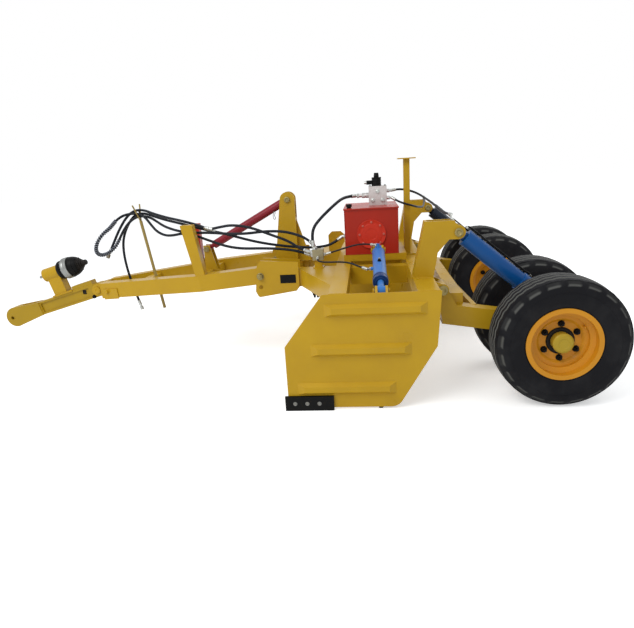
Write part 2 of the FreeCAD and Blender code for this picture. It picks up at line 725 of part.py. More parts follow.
def post():
    """Leaning post on the bend of the left beam, wider at its head."""
    y = -RAIL_Y - DRAW_W / 2 + POST_T / 2 + 4
    foot = beam_top(POST_X) - 25
    return profile_y([(POST_X - POST_FOOT / 2, foot), (POST_X + POST_FOOT / 2, foot),
                      (POST_X - POST_LEAN + POST_HEAD / 2, POST_TOP_Z),
                      (POST_X - POST_LEAN - POST_HEAD / 2, POST_TOP_Z)],
                     y - POST_T / 2, y + POST_T / 2)


def stay_ears():
    """Two gusset ears on the rear tie, for the stay's lower pin."""
    foot = beam_top(CLAMP_X - REAR_TIE) - (DRAW_H - TIE_W) / 2 - 8
    outline = [(STAY_X - 25, foot), (STAY_X + 75, foot), (STAY_X + 25, STAY_Z + 30),
               (STAY_X - 25, STAY_Z + 30)]
    y0, y1 = STAY_EYE_W / 2 + 10, STAY_EYE_W / 2 + 20
    return [profile_y(outline, s * y0, s * y1) for s in (-1, 1)]


def stay():
    low = vec(STAY_X, 0, STAY_Z)
    high = vec(TOWER_PIN_X, 0, TOWER_PIN_Z)
    run = high - low
    run.normalize()
    tube = cyl(low + run * STAY_SCREW, high - run * STAY_SCREW, STAY_R)
    half = vec(0, STAY_EYE_W / 2, 0)
    eyes = []
    for p in (low, high):
        eyes.append(cyl(p - half, p + half, STAY_EYE_R))
    rods = cyl(low, high, STAY_ROD_R)
    body = fuse(tube, rods, eyes)
    for p in (low, high):
        body = body.cut(cyl(p - half * 2, p + half * 2, STAY_PIN_R))
    return body


save("stay", stay())


def holder_axis():
    foot = vec(HOLDER_FOOT[0], 0, HOLDER_FOOT[1])
    fork = vec(HOLDER_FORK[0], 0, HOLDER_FORK[1])
    return foot, fork, (fork - foot).normalize()


def holder_rod(extra=0.0):
    foot, fork, along = holder_axis()
    return cyl(foot, fork, HOLDER_R + extra)


def holder_sleeve():
    """Short tube on the rear face of the front tie that holds the hose rod."""
    foot, fork, along = holder_axis()
    middle = foot + along * SLEEVE_T
    half = along * (SLEEVE_L / 2)
    return cyl(middle - half, middle + half, HOLDER_R + 8)


def hose_holder():
    """Rod with two prongs that cradle the hoses."""
    foot, fork, along = holder_axis()
    x, y, z = HOLDER_TIP
    prongs = [cyl(fork - along * 10, vec(x, s * y, z), PRONG_R) for s in (-1, 1)]
    return fuse(holder_rod(), prongs)


save("hose_holder", hose_holder())


# The parking jack: a square leg stowed upright in its sleeve on the drawbar.
def jack():
    """Square sleeve welded ahead of the rear tie, and the leg inside it."""
    h = JACK_LEG / 2
    bore = h + BODY_GAP
    shell = bore + JACK_WALL
    z0, z1 = JACK_FOOT_Z + 14, JACK_FOOT_Z + 204
    sleeve = box(JACK_X - shell, JACK_X + shell + 4, -shell, shell, z0, z1)
    sleeve = sleeve.cut(box(JACK_X - bore, JACK_X + bore, -bore, bore, z0 - 1, z1 + 1))
    leg = box(JACK_X - h, JACK_X + h, -h, h, JACK_FOOT_Z, JACK_TOP_Z)
    foot = box(JACK_X - 50, JACK_X + 50, -50, 50, JACK_FOOT_Z - 10, JACK_FOOT_Z)
    return sleeve, fuse(leg, foot)


jack_sleeve, jack_leg = jack()
save("jack_leg", jack_leg)
hollows, beams, crossings = drawbar()
cheeks, hitch_pin = hitch_head()
stay_pin = cyl(vec(STAY_X, -54, STAY_Z), vec(STAY_X, 54, STAY_Z), STAY_PIN_R)
bolt_holes = clamp_bolts(-1, CLAMP_BOLT_R) + clamp_bolts(1, CLAMP_BOLT_R)
frame_pins = [bolt_holes[0], bolt_holes[2], tower_pin, stay_pin, hitch_pin]
whole = fuse(beams, crossings, cheeks, post(), stay_ears(), jack_sleeve, holder_sleeve())
save("drawbar", whole.cut(hollows + bolt_holes + [stay_pin, hitch_pin, holder_rod(BODY_GAP)]))
cross_pins = []
for y, z in (CROSS_FAR, CROSS_NEAR):
    reach = CROSS_EYE_W / 2 + EAR_GAP + CROSS_EAR_T + 10
    cross_pins.append(cyl(vec(CROSS_CYL_X - reach, y, z), vec(CROSS_CYL_X + reach, y, z),
                          CROSS_PIN_R))
save("frame_pins", Part.makeCompound(frame_pins + cross_pins))


# =================================================================== tongue
def on_tongue(t, y, n):
    """Point t ahead of the hitch pivot along the tongue and n above its line."""
    drop = radians(TONGUE_DROP)
    return vec(HITCH_X - t * cos(drop) - n * sin(drop), y,
               HITCH_Z - t * sin(drop) + n * cos(drop))


def tongue_profile(points, y0, y1):
    """Plate along the tongue with the outline given as (t, n) corners."""
    corners = [on_tongue(t, y0, n) for t, n in points]
    corners.append(corners[0])
    return Part.Face(Part.makePolygon(corners)).extrude(vec(0, y1 - y0, 0))


def tongue_block(t0, t1, y0, y1, n0, n1):
    return tongue_profile([(t0, n0), (t1, n0), (t1, n1), (t0, n1)], y0, y1)


def tongue_turned(profile, n):
    """Turned piece about a line along the tongue: (t, r) corners of a section."""
    axis = on_tongue(1, 0, n) - on_tongue(0, 0, n)
    corners = [on_tongue(t, 0, n + r) for t, r in profile]
    corners.append(corners[0])
    face = Part.Face(Part.makePolygon(corners))
    return face.revolve(on_tongue(0, 0, n), axis, 360)


def tongue():
    """Drooping hitch arm of channel section: pivot boss, thick top plate, and
    the rounded cheeks at its tip."""
    w, h = TONGUE_W / 2, TONGUE_H / 2
    body = tongue_block(0, TONGUE_LENGTH, -w, w, -h, h)
    boss = cyl(on_tongue(0, -w, 0), on_tongue(0, w, 0), h)
    ridge = tongue_block(RIDGE_T0, RIDGE_T1, -w + 6, w - 6, h, h + RIDGE_H)
    channels, cheeks = [], []
    tip0, tip1 = on_tongue(TONGUE_LENGTH, -w, 0), on_tongue(TONGUE_LENGTH, w, 0)
    for s in (-1, 1):
        channels.append(tongue_block(h + 30, TONGUE_LENGTH - TIP_CHEEK - 12,
                                     s * w, s * (w - TONGUE_WEB),
                                     TONGUE_FLANGE - h, h - TONGUE_FLANGE))
        y0, y1 = s * w, s * (w + TIP_CHEEK_T)
        back = TONGUE_LENGTH - TIP_CHEEK
        cheek = tongue_profile([(back, -h - 1), (TONGUE_LENGTH, -TIP_R), (TONGUE_LENGTH, TIP_R),
                                (back, h + 1)], y0, y1)
        cheeks.append(cheek.fuse(cyl(on_tongue(TONGUE_LENGTH, y0, 0),
                                     on_tongue(TONGUE_LENGTH, y1, 0), TIP_R)))
    eye = cyl(tip0, tip1, TIP_R)
    whole = fuse(body, boss, ridge, eye, cheeks).cut(channels)
    bore_t = TONGUE_LENGTH + HITCH_BORE_AHEAD
    pivot = cyl(on_tongue(0, -99, 0), on_tongue(0, 99, 0), HITCH_PIN_R + BODY_GAP)
    bore = cyl(on_tongue(bore_t, -99, 0), on_tongue(bore_t, 99, 0), HITCH_BORE_R)
    return whole.cut([pivot, bore])


def pump_bracket():
    """Stand on the tongue with the round collar that carries the pump."""
    foot = tongue_block(RIDGE_T1 + BODY_GAP, COLLAR_T1 - 10, -50, 50, TONGUE_H / 2,
                        TONGUE_H / 2 + 12)
    stand = tongue_profile([(COLLAR_T0 + 6, TONGUE_H / 2 + 12), (COLLAR_T1 - 26, TONGUE_H / 2 + 12),
                            (COLLAR_T1 - 26, PUMP_N), (COLLAR_T0 + 6, PUMP_N)], -38, 38)
    collar = tongue_turned([(COLLAR_T0, 0), (COLLAR_T0, COLLAR_R), (COLLAR_T1, COLLAR_R),
                            (COLLAR_T1, 0)], PUMP_N)
    bore = tongue_turned([(COLLAR_T1 - 12, 0), (COLLAR_T1 - 12, COLLAR_R - 14),
                          (COLLAR_T1 + 9, COLLAR_R - 14), (COLLAR_T1 + 9, 0)], PUMP_N)
    shaft = tongue_turned([(COLLAR_T0 - 9, 0), (COLLAR_T0 - 9, SHAFT_R + BODY_GAP),
                           (COLLAR_T1, SHAFT_R + BODY_GAP), (COLLAR_T1, 0)], PUMP_N)
    return fuse(foot, stand, collar).cut([bore, shaft])


def hydraulic_pump():
    """Pump turned by the tractor's shaft: drive stub, flange, ring, body and
    the tapered rubber boot behind it."""
    stub = COLLAR_T1 + SHAFT_STUB
    return tongue_turned([(stub, 0), (stub, SHAFT_R), (COLLAR_T0 - BODY_GAP, SHAFT_R),
                          (COLLAR_T0 - BODY_GAP, PUMP_FLANGE_R), (PUMP_FLANGE_T, PUMP_FLANGE_R),
                          (PUMP_FLANGE_T, PUMP_RING_R), (PUMP_RING_T, PUMP_RING_R),
                          (PUMP_RING_T, PUMP_BODY_R), (PUMP_T, PUMP_BODY_R - 6),
                          (PUMP_T - 45, 40), (-18, 15), (-18, 0)], PUMP_N)


save("tongue", tongue())
save("pump_bracket", pump_bracket())
save("hydraulic_pump", hydraulic_pump())


# ==================================================================== tank
def oil_tank():
    """Welded box tank: lid with a rim, and the round cover on its near face."""
    tank = box(TANK_X0, TANK_X1, -TANK_Y, TANK_Y, TANK_Z0, TANK_Z1)
    lid = box(TANK_X0 - LID_RIM, TANK_X1 + LID_RIM, -TANK_Y - LID_RIM, TANK_Y + LID_RIM,
              TANK_Z1, TANK_Z1 + LID_T)
    x = (TANK_X0 + TANK_X1) / 2
    cover = cyl(vec(x, -TANK_Y - 10, COVER_Z), vec(x, -TANK_Y, COVER_Z), COVER_R)
    return fuse(tank, lid, cover)


tray = box(TRAY_X0, TRAY_X1, -TANK_Y, TANK_Y, TANK_Z0 - TRAY_T, TANK_Z0)
legs = []
for x0, x1 in ((FRONT_CROSS_1 - 40, FRONT_CROSS_1 - 4), (REAR_CROSS_0 - 30, TRAY_X1)):
    legs.append(box(x0, x1, -TANK_Y, TANK_Y, END_TOP_Z, TANK_Z0 - TRAY_T))
for s in (-1, 1):
    legs.append(box(TRAY_X0, TRAY_X1, s * TANK_Y, s * (TANK_Y - 10), TANK_Z0 - TRAY_SKIRT,
                    TANK_Z0 - TRAY_T))
save("tank_stand", fuse(tray, legs))
save("oil_tank", oil_tank())

# The valve that the laser's control box works: block, port adaptors, solenoid.
lid_z = TANK_Z1 + LID_T
port_left, port_high, port_low = vec(*PORT_LEFT), vec(*PORT_HIGH), vec(*PORT_LOW)
left_end = port_left - vec(PORT_LEFT_L, 0, 0)
high_end, low_end = port_high + vec(PORT_L, 0, 0), port_low + vec(PORT_L, 0, 0)
valve = fuse(box(VALVE_X0, VALVE_X1, -VALVE_Y, VALVE_Y, lid_z, VALVE_TOP_Z),
             cyl(port_left, port_left - vec(PORT_NUT, 0, 0), PORT_R + 4),
             cyl(port_left, left_end, PORT_R),
             cyl(port_high, high_end, PORT_R),
             cyl(port_low, low_end, PORT_R))
save("valve_block", valve)
solenoid = fuse(
    cyl(vec(SOLENOID_X, 0, VALVE_TOP_Z), vec(SOLENOID_X, 0, VALVE_TOP_Z + 62), SOLENOID_R),
    cyl(vec(SOLENOID_X, 0, VALVE_TOP_Z), vec(SOLENOID_X, 0, SOLENOID_TOP_Z), SOLENOID_R / 2),
    box(SOLENOID_X - 74, SOLENOID_X, -15, 15, VALVE_TOP_Z + 12, VALVE_TOP_Z + 42))
save("solenoid", solenoid)

# =================================================================== mast
save("receiver_mast", fuse(
    box(MAST_0, MAST_1, -MAST_W / 2, MAST_W / 2, END_TOP_Z, MAST_TOP_Z - MAST_PLATE_T),
    box(MAST_X - MAST_PLATE / 2, MAST_X + MAST_PLATE / 2, -MAST_PLATE / 2, MAST_PLATE / 2,
        MAST_TOP_Z - MAST_PLATE_T, MAST_TOP_Z),
    box(MAST_0, MAST_1 + 40, -55, 55, END_TOP_Z, END_TOP_Z + 10)))


# ============================================================== goosenecks
def gooseneck(s):
    """Two cheeks that lean back from the rear cross beam to the cylinder's top
    pin, the web between their front edges, and the hose block at the nose."""
    y = s * ARM_Y
    inside = LIFT_EYE_W / 2 + EAR_GAP
    outline = [(REAR_CROSS_0, END_TOP_Z), (REAR_CROSS_1, END_TOP_Z), (LIFT_TOP_X - 124, 870),
               (LIFT_TOP_X - 55, 948), (LIFT_TOP_X, LIFT_TOP_Z - LIFT_NOSE_R),
               (LIFT_TOP_X, LIFT_TOP_Z + LIFT_NOSE_R), (LIFT_TOP_X - 36, GOOSE_TOP_Z),
               (GOOSE_FRONT_X, GOOSE_TOP_Z)]
    cheeks = []
    for t in (-1, 1):
        y0 = y + t * inside
        y1 = y0 + t * CHEEK
        cheek = profile_y(outline, y0, y1)
        cheeks.append(cheek.fuse(cyl(vec(LIFT_TOP_X, y0, LIFT_TOP_Z),
                                     vec(LIFT_TOP_X, y1, LIFT_TOP_Z), LIFT_NOSE_R)))
    reach = inside + CHEEK + 12
    pin = cyl(vec(LIFT_TOP_X, y - reach, LIFT_TOP_Z), vec(LIFT_TOP_X, y + reach, LIFT_TOP_Z),
              LIFT_PIN_R)
    web = profile_y([(REAR_CROSS_0, END_TOP_Z), (REAR_CROSS_0 + GOOSE_WEB, END_TOP_Z),
                     (GOOSE_FRONT_X + GOOSE_WEB, GOOSE_TOP_Z), (GOOSE_FRONT_X, GOOSE_TOP_Z)],
                    y - inside, y + inside)
    x0, x1 = HOSE_BLOCK_X - 15, HOSE_BLOCK_X + 15
    block = box(x0, x1, y - inside, y + inside, LIFT_TOP_Z + LIFT_NOSE_R + 2, GOOSE_TOP_Z - 4)
    return fuse(cheeks, web, pin, block)


for side, s in SIDES:
    save("gooseneck_" + side, gooseneck(s))


# ============================================================= lift cylinders
def lift_axis(s):
    top = vec(LIFT_TOP_X, s * ARM_Y, LIFT_TOP_Z)
    foot = vec(LIFT_FOOT_X, s * ARM_Y, LIFT_FOOT_Z)
    run = foot - top
    length = run.Length
    run.normalize()
    return top, foot, run, length


def lift_barrel(s):
    top, foot, run, length = lift_axis(s)
    half = vec(0, LIFT_EYE_W / 2, 0)
    eye = cyl(top - half, top + half, LIFT_NOSE_R - 4)
    neck = cyl(top, top + run * 70, 30)
    tube = cyl(top + run * 60, top + run * BARREL_END, BARREL_R)
    gland = cyl(top + run * (BARREL_END - 60), top + run * BARREL_END, BARREL_R + 5)
    body = fuse(eye, neck, tube, gland)
    body = body.cut(cyl(top - half * 2, top + half * 2, LIFT_PIN_R + BODY_GAP))
    return body.cut(cyl(top + run * (BARREL_END - ROD_INSIDE - 60),
                        top + run * (BARREL_END + 5), ROD_R + BODY_GAP))


def lift_rod(s):
    top, foot, run, length = lift_axis(s)
    half = vec(0, ROD_EYE_W / 2, 0)
    rod = cyl(top + run * (BARREL_END - ROD_INSIDE), foot, ROD_R)
    eye = cyl(foot - half, foot + half, ROD_EYE_R)
    return fuse(rod, eye).cut(cyl(foot - half * 2, foot + half * 2, LIFT_PIN_R + EYE_PLAY))


for side, s in SIDES:
    save("lift_barrel_" + side, lift_barrel(s))
    save("lift_rod_" + side, lift_rod(s))

# ============================================================ cross cylinder
def cross_axis():
    far = vec(CROSS_CYL_X, *CROSS_FAR)
    near = vec(CROSS_CYL_X, *CROSS_NEAR)
    return far, near, (near - far).normalize()


def cross_boss(t):
    """Point on the cylinder's axis, t from its far eye."""
    far, near, run = cross_axis()
    return far + run * t


def cross_cylinder():
    """Barrel with its far eye, gland and two hose bosses."""
    far, near, run = cross_axis()
    half = vec(CROSS_EYE_W / 2, 0, 0)
    eye = cyl(far - half, far + half, CROSS_EYE_R - 2)
    neck = cyl(far, far + run * CROSS_BARREL_0, CROSS_EYE_W / 2 - 2)
    barrel = cyl(far + run * CROSS_BARREL_0, far + run * CROSS_BARREL_1, CROSS_BARREL_R)
    gland = cyl(far + run * CROSS_BARREL_1, far + run * CROSS_GLAND_1, CROSS_BARREL_R + 4)
    top, side = cross_boss(TOP_BOSS_T), cross_boss(SIDE_BOSS_T)
    bosses = [cyl(top, vec(top.x, top.y, TOP_BOSS_Z), BOSS_R),
              cyl(side, vec(SIDE_BOSS_X, side.y, side.z), BOSS_R)]
    body = fuse(eye, neck, barrel, gland, bosses)
    rod_hole = cyl(far + run * (CROSS_ROD_0 - 5), far + run * (CROSS_GLAND_1 + 5),
                   CROSS_ROD_R + BODY_GAP)
    return body.cut([rod_hole, cyl(far - half * 2, far + half * 2, CROSS_PIN_R)])


def cross_rod():
    far, near, run = cross_axis()
    half = vec(CROSS_EYE_W / 2, 0, 0)
    rod = cyl(far + run * CROSS_ROD_0, near, CROSS_ROD_R)
    eye = cyl(near - half, near + half, CROSS_EYE_R - 2)
    return fuse(rod, eye).cut(cyl(near - half * 2, near + half * 2, CROSS_PIN_R))


save("cross_cylinder", cross_cylinder())
save("cross_cylinder_rod", cross_rod())

# ================================================================ hydraulics
manifold_y0, manifold_y1 = MANIFOLD_Y - MANIFOLD_W / 2, MANIFOLD_Y + MANIFOLD_W / 2
save("hose_manifold", fuse(
    box(MANIFOLD_X, MANIFOLD_X + MANIFOLD_L, manifold_y0, manifold_y1, MANIFOLD_Z0, MANIFOLD_Z1),
    box(MANIFOLD_X + 12, MANIFOLD_X + MANIFOLD_L - 12, manifold_y0 + 14, manifold_y1 - 14,
        RAIL_TOP_Z + 8, MANIFOLD_Z0),
    box(MANIFOLD_X, MANIFOLD_X + MANIFOLD_L, manifold_y0, manifold_y1, RAIL_TOP_Z,
        RAIL_TOP_Z + 8)))

# Blank plate on the near clamp plate.
save("nameplate", box(NAMEPLATE_X - NAMEPLATE_L / 2, NAMEPLATE_X + NAMEPLATE_L / 2,
                      NEAR_CLAMP_Y - NAMEPLATE_T, NEAR_CLAMP_Y,
                      NAMEPLATE_Z - NAMEPLATE_H / 2, NAMEPLATE_Z + NAMEPLATE_H / 2))

# Hose routes, end to end: the corners of each hose's line.  Hoses run straight
# between them and turn each corner on an arc.
ROUTES = {
    "supply": (HOSE_D, [
        (-1243, -60, 851), (-1204, -50, 924), (-1150, -28, 1026), (-1092, 2, 1112),
        (-1026, 10, 1157), (-944, 2, 1158), (-835, -80, 1130), (-700, -170, 1103),
        (-545, -270, 1081), (-430, -290, 1049), (-330, -310, 1012), (-255, -325, 1026),
        (-150, -330, 1040), (-10, -332, 1014), (130, -334, 955), (260, -338, 904),
        (335, -343, 848), (386, -346, 828)]),
    "return": (HOSE_D, [
        (-1091, 0, 399), (-1114, 0, 488), (-1142, 0, 610), (-1160, 2, 730), (-1166, 6, 842),
        (-1152, 10, 940), (-1105, 12, 1035), (-1036, 14, 1119), (-952, 13, 1134),
        (-835, -60, 1105), (-700, -150, 1078), (-560, -245, 1058), (-430, -268, 1022),
        (-325, -276, 996), (-205, -278, 966), (-80, -280, 925), (50, -268, 888), (180, -258, 862),
        (310, -250, 843), (440, -240, 832), (540, -232, 842), (592, -226, 866), (628, -222, 890)]),
    "loop": (HOSE_D, [
        (386, -313, 801), (325, -313, 822), (215, -310, 843), (60, -306, 854), (-100, -308, 858),
        (-215, -306, 880), (-305, -302, 914), (-400, -294, 950), (-480, -264, 975),
        (-565, -244, 985), (-650, -204, 968), (-740, -140, 962), (-818, -100, 992),
        (-868, -72, 1042), (-912, -46, 1092), (-964, -16, 1127), (-1040, -14, 1136),
        (-1108, -46, 1124), (-1140, -115, 1088), (-1150, -195, 1045), (-1185, -264, 1008),
        (-1231, -286, 949), (-1264, -260, 883), (-1271, -197, 838), (-1248, -122, 832),
        (-1205, -68, 867), (-1160, -55, 932), (-1120, -44, 1002), (-1072, -28, 1064),
        (-1018, -4, 1103), (-955, 1, 1111), (-890, -10, 1095), (-826, -48, 1064),
        (-745, -130, 1035), (-655, -215, 1018), (-560, -276, 1002), (-450, -292, 990),
        (-320, -300, 986), (-190, -308, 972), (-50, -311, 968), (90, -310, 980), (230, -311, 972),
        (330, -311, 940), (385, -311, 914), (424, -312, 880)]),
    "valve": (VALVE_HOSE_D, [
        (438, -345, 880), (434, -340, 935), (449, -322, 996), (497, -296, 1050),
        (558, -256, 1104), (610, -190, 1145), (649, -116, 1170), (690, -52, 1180),
        (735, -12, 1181)]),
    "tilt_a": (THIN_HOSE_D, [
        (548, -334, 801), (590, -340, 812), (670, -355, 838), (755, -385, 862), (820, -430, 872),
        (870, -480, 872)]),
    "tilt_b": (THIN_HOSE_D, [
        (470, -400, 773), (473, -440, 770), (500, -495, 768), (560, -555, 774), (640, -620, 786),
        (715, -695, 790), (765, -765, 780), (812, -798, 769)]),
    "lift_left": (LIFT_HOSE_D, [
        (1040, 28, 1208), (1080, 42, 1212), (1138, 56, 1204), (1194, 36, 1187), (1232, -20, 1169),
        (1256, -98, 1153), (1277, -200, 1138), (1300, -340, 1120), (1318, -480, 1100),
        (1331, -610, 1088), (1343, -715, 1085), (1350, -800, 1088)]),
    "lift_right": (LIFT_HOSE_D, [
        (1038, -30, 1148), (1070, -46, 1128), (1122, -61, 1107), (1174, -46, 1091),
        (1212, 8, 1076), (1234, 82, 1066), (1262, 185, 1056), (1290, 325, 1044),
        (1314, 480, 1042), (1333, 620, 1055), (1345, 725, 1076), (1350, 800, 1086)]),
}


def hose(name):
    """Round hose along its route; prints its length and tightest bend."""
    diameter, route = ROUTES[name]
    corners = [vec(*corner) for corner in route]
    edges, at, radii, length = [], corners[0], [], 0.0
    for before, corner, after in zip(corners, corners[1:], corners[2:]):
        back, ahead = before - corner, after - corner
        half_turn = (pi - back.getAngle(ahead)) / 2
        cut = 0.45 * min(back.Length, ahead.Length)
        radius = cut / tan(half_turn)
        start = corner + back.normalize() * cut
        end = corner + ahead.normalize() * cut
        middle = corner + (back + ahead).normalize() * (hypot(radius, cut) - radius)
        edges.append(Part.LineSegment(at, start).toShape())
        edges.append(Part.Arc(start, middle, end).toShape())
        length += (start - at).Length + 2 * half_turn * radius
        radii.append(radius)
        at = end
    edges.append(Part.LineSegment(at, corners[-1]).toShape())
    length += (corners[-1] - at).Length
    start_face = Part.Wire(Part.makeCircle(diameter / 2, corners[0], corners[1] - corners[0]))
    tube = Part.Wire(edges).makePipeShell([start_face], True, False)
    volume = tube.Volume / (pi * diameter ** 2 / 4 * length)
    print("  hose %-11s %5.0f long, radii from %.0f, volume %.3f of section x length"
          % (name, length, min(radii), volume))
    print("   ", " ".join("%.0f" % r for r in radii))
    return tube


def outward(name, at_end):
    """Last point of a hose and the direction in which it leaves it."""
    diameter, route = ROUTES[name]
    tip, inner = (route[-1], route[-2]) if at_end else (route[0], route[1])
    tip, inner = vec(*tip), vec(*inner)
    return tip, (tip - inner).normalize(), diameter / 2


def joined_end(name, at_end, port, out):
    """Crimped ferrule, swept elbow and nut between a hose's end and its port."""
    tip, along, r = outward(name, at_end)
    crimped, screwed = (FERRULE, NUT) if r > 8 else (THIN_FERRULE, THIN_NUT)
    elbow, bend = tip + along * crimped, port + out * screwed
    return fuse(cyl(tip + along * BODY_GAP, elbow, r + CRIMP), Part.makeSphere(r, elbow),
                cyl(elbow, bend, r), Part.makeSphere(r, bend),
                cyl(port + out * BODY_GAP, bend, r + CRIMP))


def free_end(name, at_end):
    """Ferrule and quick coupling on a hose that the tractor will carry."""
    tip, along, r = outward(name, at_end)
    return fuse(cyl(tip + along * BODY_GAP, tip + along * FERRULE, r + CRIMP),
                cyl(tip + along * FERRULE, tip + along * (FERRULE + 12), r - 2),
                cyl(tip + along * (FERRULE + 12), tip + along * (FERRULE + 40), r + CRIMP + 1))


def boss_port(centre, toward):
    """Port on a boss's round side, facing a hose's end."""
    out = vec(toward.x - centre.x, toward.y - centre.y, 0).normalize()
    return vec(centre.x, centre.y, toward.z) + out * BOSS_R, out


top_port, top_out = boss_port(cross_boss(TOP_BOSS_T), vec(*ROUTES["tilt_a"][1][-1]))
side_boss = cross_boss(SIDE_BOSS_T)
left_block = vec(HOSE_BLOCK_X, -ARM_Y, GOOSE_TOP_Z - 4)
right_block = vec(HOSE_BLOCK_X, ARM_Y, GOOSE_TOP_Z - 4)
ahead, behind, up, near = vec(-1, 0, 0), vec(1, 0, 0), vec(0, 0, 1), vec(0, -1, 0)
fittings = [
    free_end("supply", False),
    joined_end("supply", True, vec(MANIFOLD_X, -347, 817), ahead),
    free_end("return", False),
    joined_end("return", True, vec(TANK_X0, -222, 905), ahead),
    joined_end("loop", False, vec(MANIFOLD_X, -313, 790), ahead),
    joined_end("loop", True, vec(MANIFOLD_X + 16, -313, MANIFOLD_Z1), up),
    joined_end("valve", False, vec(MANIFOLD_X + 21, -347, MANIFOLD_Z1), up),
    joined_end("valve", True, left_end, ahead),
    joined_end("tilt_a", False, vec(MANIFOLD_X + MANIFOLD_L, MANIFOLD_Y, 795), behind),
    joined_end("tilt_a", True, top_port, top_out),
    joined_end("tilt_b", False, vec(470, manifold_y0, 775), near),
    joined_end("tilt_b", True, vec(SIDE_BOSS_X, side_boss.y, side_boss.z), ahead),
    joined_end("lift_left", False, high_end, behind),
    joined_end("lift_left", True, left_block, up),
    joined_end("lift_right", False, low_end, behind),
    joined_end("lift_right", True, right_block, up),
]
save("hose_end_fittings", Part.makeCompound(fittings))
for name in ROUTES:
    save("hose_" + name, hose(name))


# ============================================================== wheel frame
def arm(s):
    y = s * ARM_Y
    neck = profile_y([(HINGE_X - 34, HINGE_Z), (HINGE_X + 34, HINGE_Z),
                      (HINGE_X + 90, 530), (HINGE_X + 60, ARM_ROOT_Z - ARM_H / 2),
                      (HINGE_X + 5, ARM_ROOT_Z - ARM_H / 2)],
                     y - ARM_W / 2, y + ARM_W / 2)
    boss = cyl(vec(HINGE_X, y - HINGE_BOSS / 2, HINGE_Z),
               vec(HINGE_X, y + HINGE_BOSS / 2, HINGE_Z), LUG_R)
    beam = bar(vec(HINGE_X + 10, y, ARM_ROOT_Z), vec(AXLE_X, y, AXLE_Z), ARM_W, ARM_H)
    end = cyl(vec(AXLE_X, y - ARM_W / 2, AXLE_Z), vec(AXLE_X, y + ARM_W / 2, AXLE_Z), ARM_H / 2)
    ears = []
    for t in (-1, 1):
        y0 = y + t * (ROD_EYE_W / 2 + EAR_GAP)
        y1 = y0 + t * EAR
        ear = profile_y([(LIFT_FOOT_X - 60, AXLE_Z + 40), (LIFT_FOOT_X + 60, AXLE_Z + 40),
                         (LIFT_FOOT_X + FOOT_EAR_R, LIFT_FOOT_Z),
                         (LIFT_FOOT_X - FOOT_EAR_R, LIFT_FOOT_Z)], y0, y1)
        ears.append(ear.fuse(cyl(vec(LIFT_FOOT_X, y0, LIFT_FOOT_Z),
                                 vec(LIFT_FOOT_X, y1, LIFT_FOOT_Z), FOOT_EAR_R)))
    reach = ROD_EYE_W / 2 + EAR_GAP + EAR + 8
    pin = cyl(vec(LIFT_FOOT_X, y - reach, LIFT_FOOT_Z),
              vec(LIFT_FOOT_X, y + reach, LIFT_FOOT_Z), LIFT_PIN_R)
    whole = fuse(neck, boss, beam, end, ears, pin)
    return whole.cut(cyl(vec(HINGE_X, y - 99, HINGE_Z), vec(HINGE_X, y + 99, HINGE_Z),
                         HINGE_PIN_R + BODY_GAP))


def wheel_frame():
    half = CROSS_TUBE_W / 2
    cross = box(CROSS_TUBE_X - half, CROSS_TUBE_X + half, -ARM_Y, ARM_Y,
                CROSS_TUBE_Z - half, CROSS_TUBE_Z + half)
    braces = []
    for s in (-1, 1):
        braces.append(bar(vec(CROSS_TUBE_X, s * WHEEL_BRACE_Y, CROSS_TUBE_Z),
                          vec(WHEEL_BRACE_X, s * (ARM_Y - WHEEL_BRACE_W), WHEEL_BRACE_Z),
                          WHEEL_BRACE_W, WHEEL_BRACE_H))
    return fuse(arm(-1), arm(1), cross, braces)


save("wheel_frame", wheel_frame())
spindles = []
for side, s in SIDES:
    for t, wheel_y in ((-1, WHEEL_Y[0]), (1, WHEEL_Y[1])):
        y0 = s * (ARM_Y + t * ARM_W / 2)
        y1 = s * (wheel_y + t * SPINDLE_REACH)
        flange = cyl(vec(AXLE_X, y0, AXLE_Z), vec(AXLE_X, y0 + s * t * 20, AXLE_Z),
                     SPINDLE_R + 18)
        spindles.append(fuse(flange, cyl(vec(AXLE_X, y0, AXLE_Z),
                                         vec(AXLE_X, y1, AXLE_Z), SPINDLE_R)))
save("spindles", Part.makeCompound(spindles))


# =================================================================== wheels
def turned(edges_points, y, out):
    """Revolve a (t, r) section about the wheel's axis; t counts outboard."""
    profile = [(out * t, r) for t, r in edges_points]
    return revolve_y(profile, vec(AXLE_X, y, AXLE_Z))


def section_face(segments, out):
    """Face from (kind, points) segments in (t, r), lying in the YZ plane."""
    edges = []
    for points in segments:
        p = [vec(0, out * t, r) for t, r in points]
        if len(p) == 3:
            edges.append(Part.Arc(*p).toShape())
        else:
            edges.append(Part.LineSegment(*p).toShape())
    return Part.Face(Part.Wire(edges))


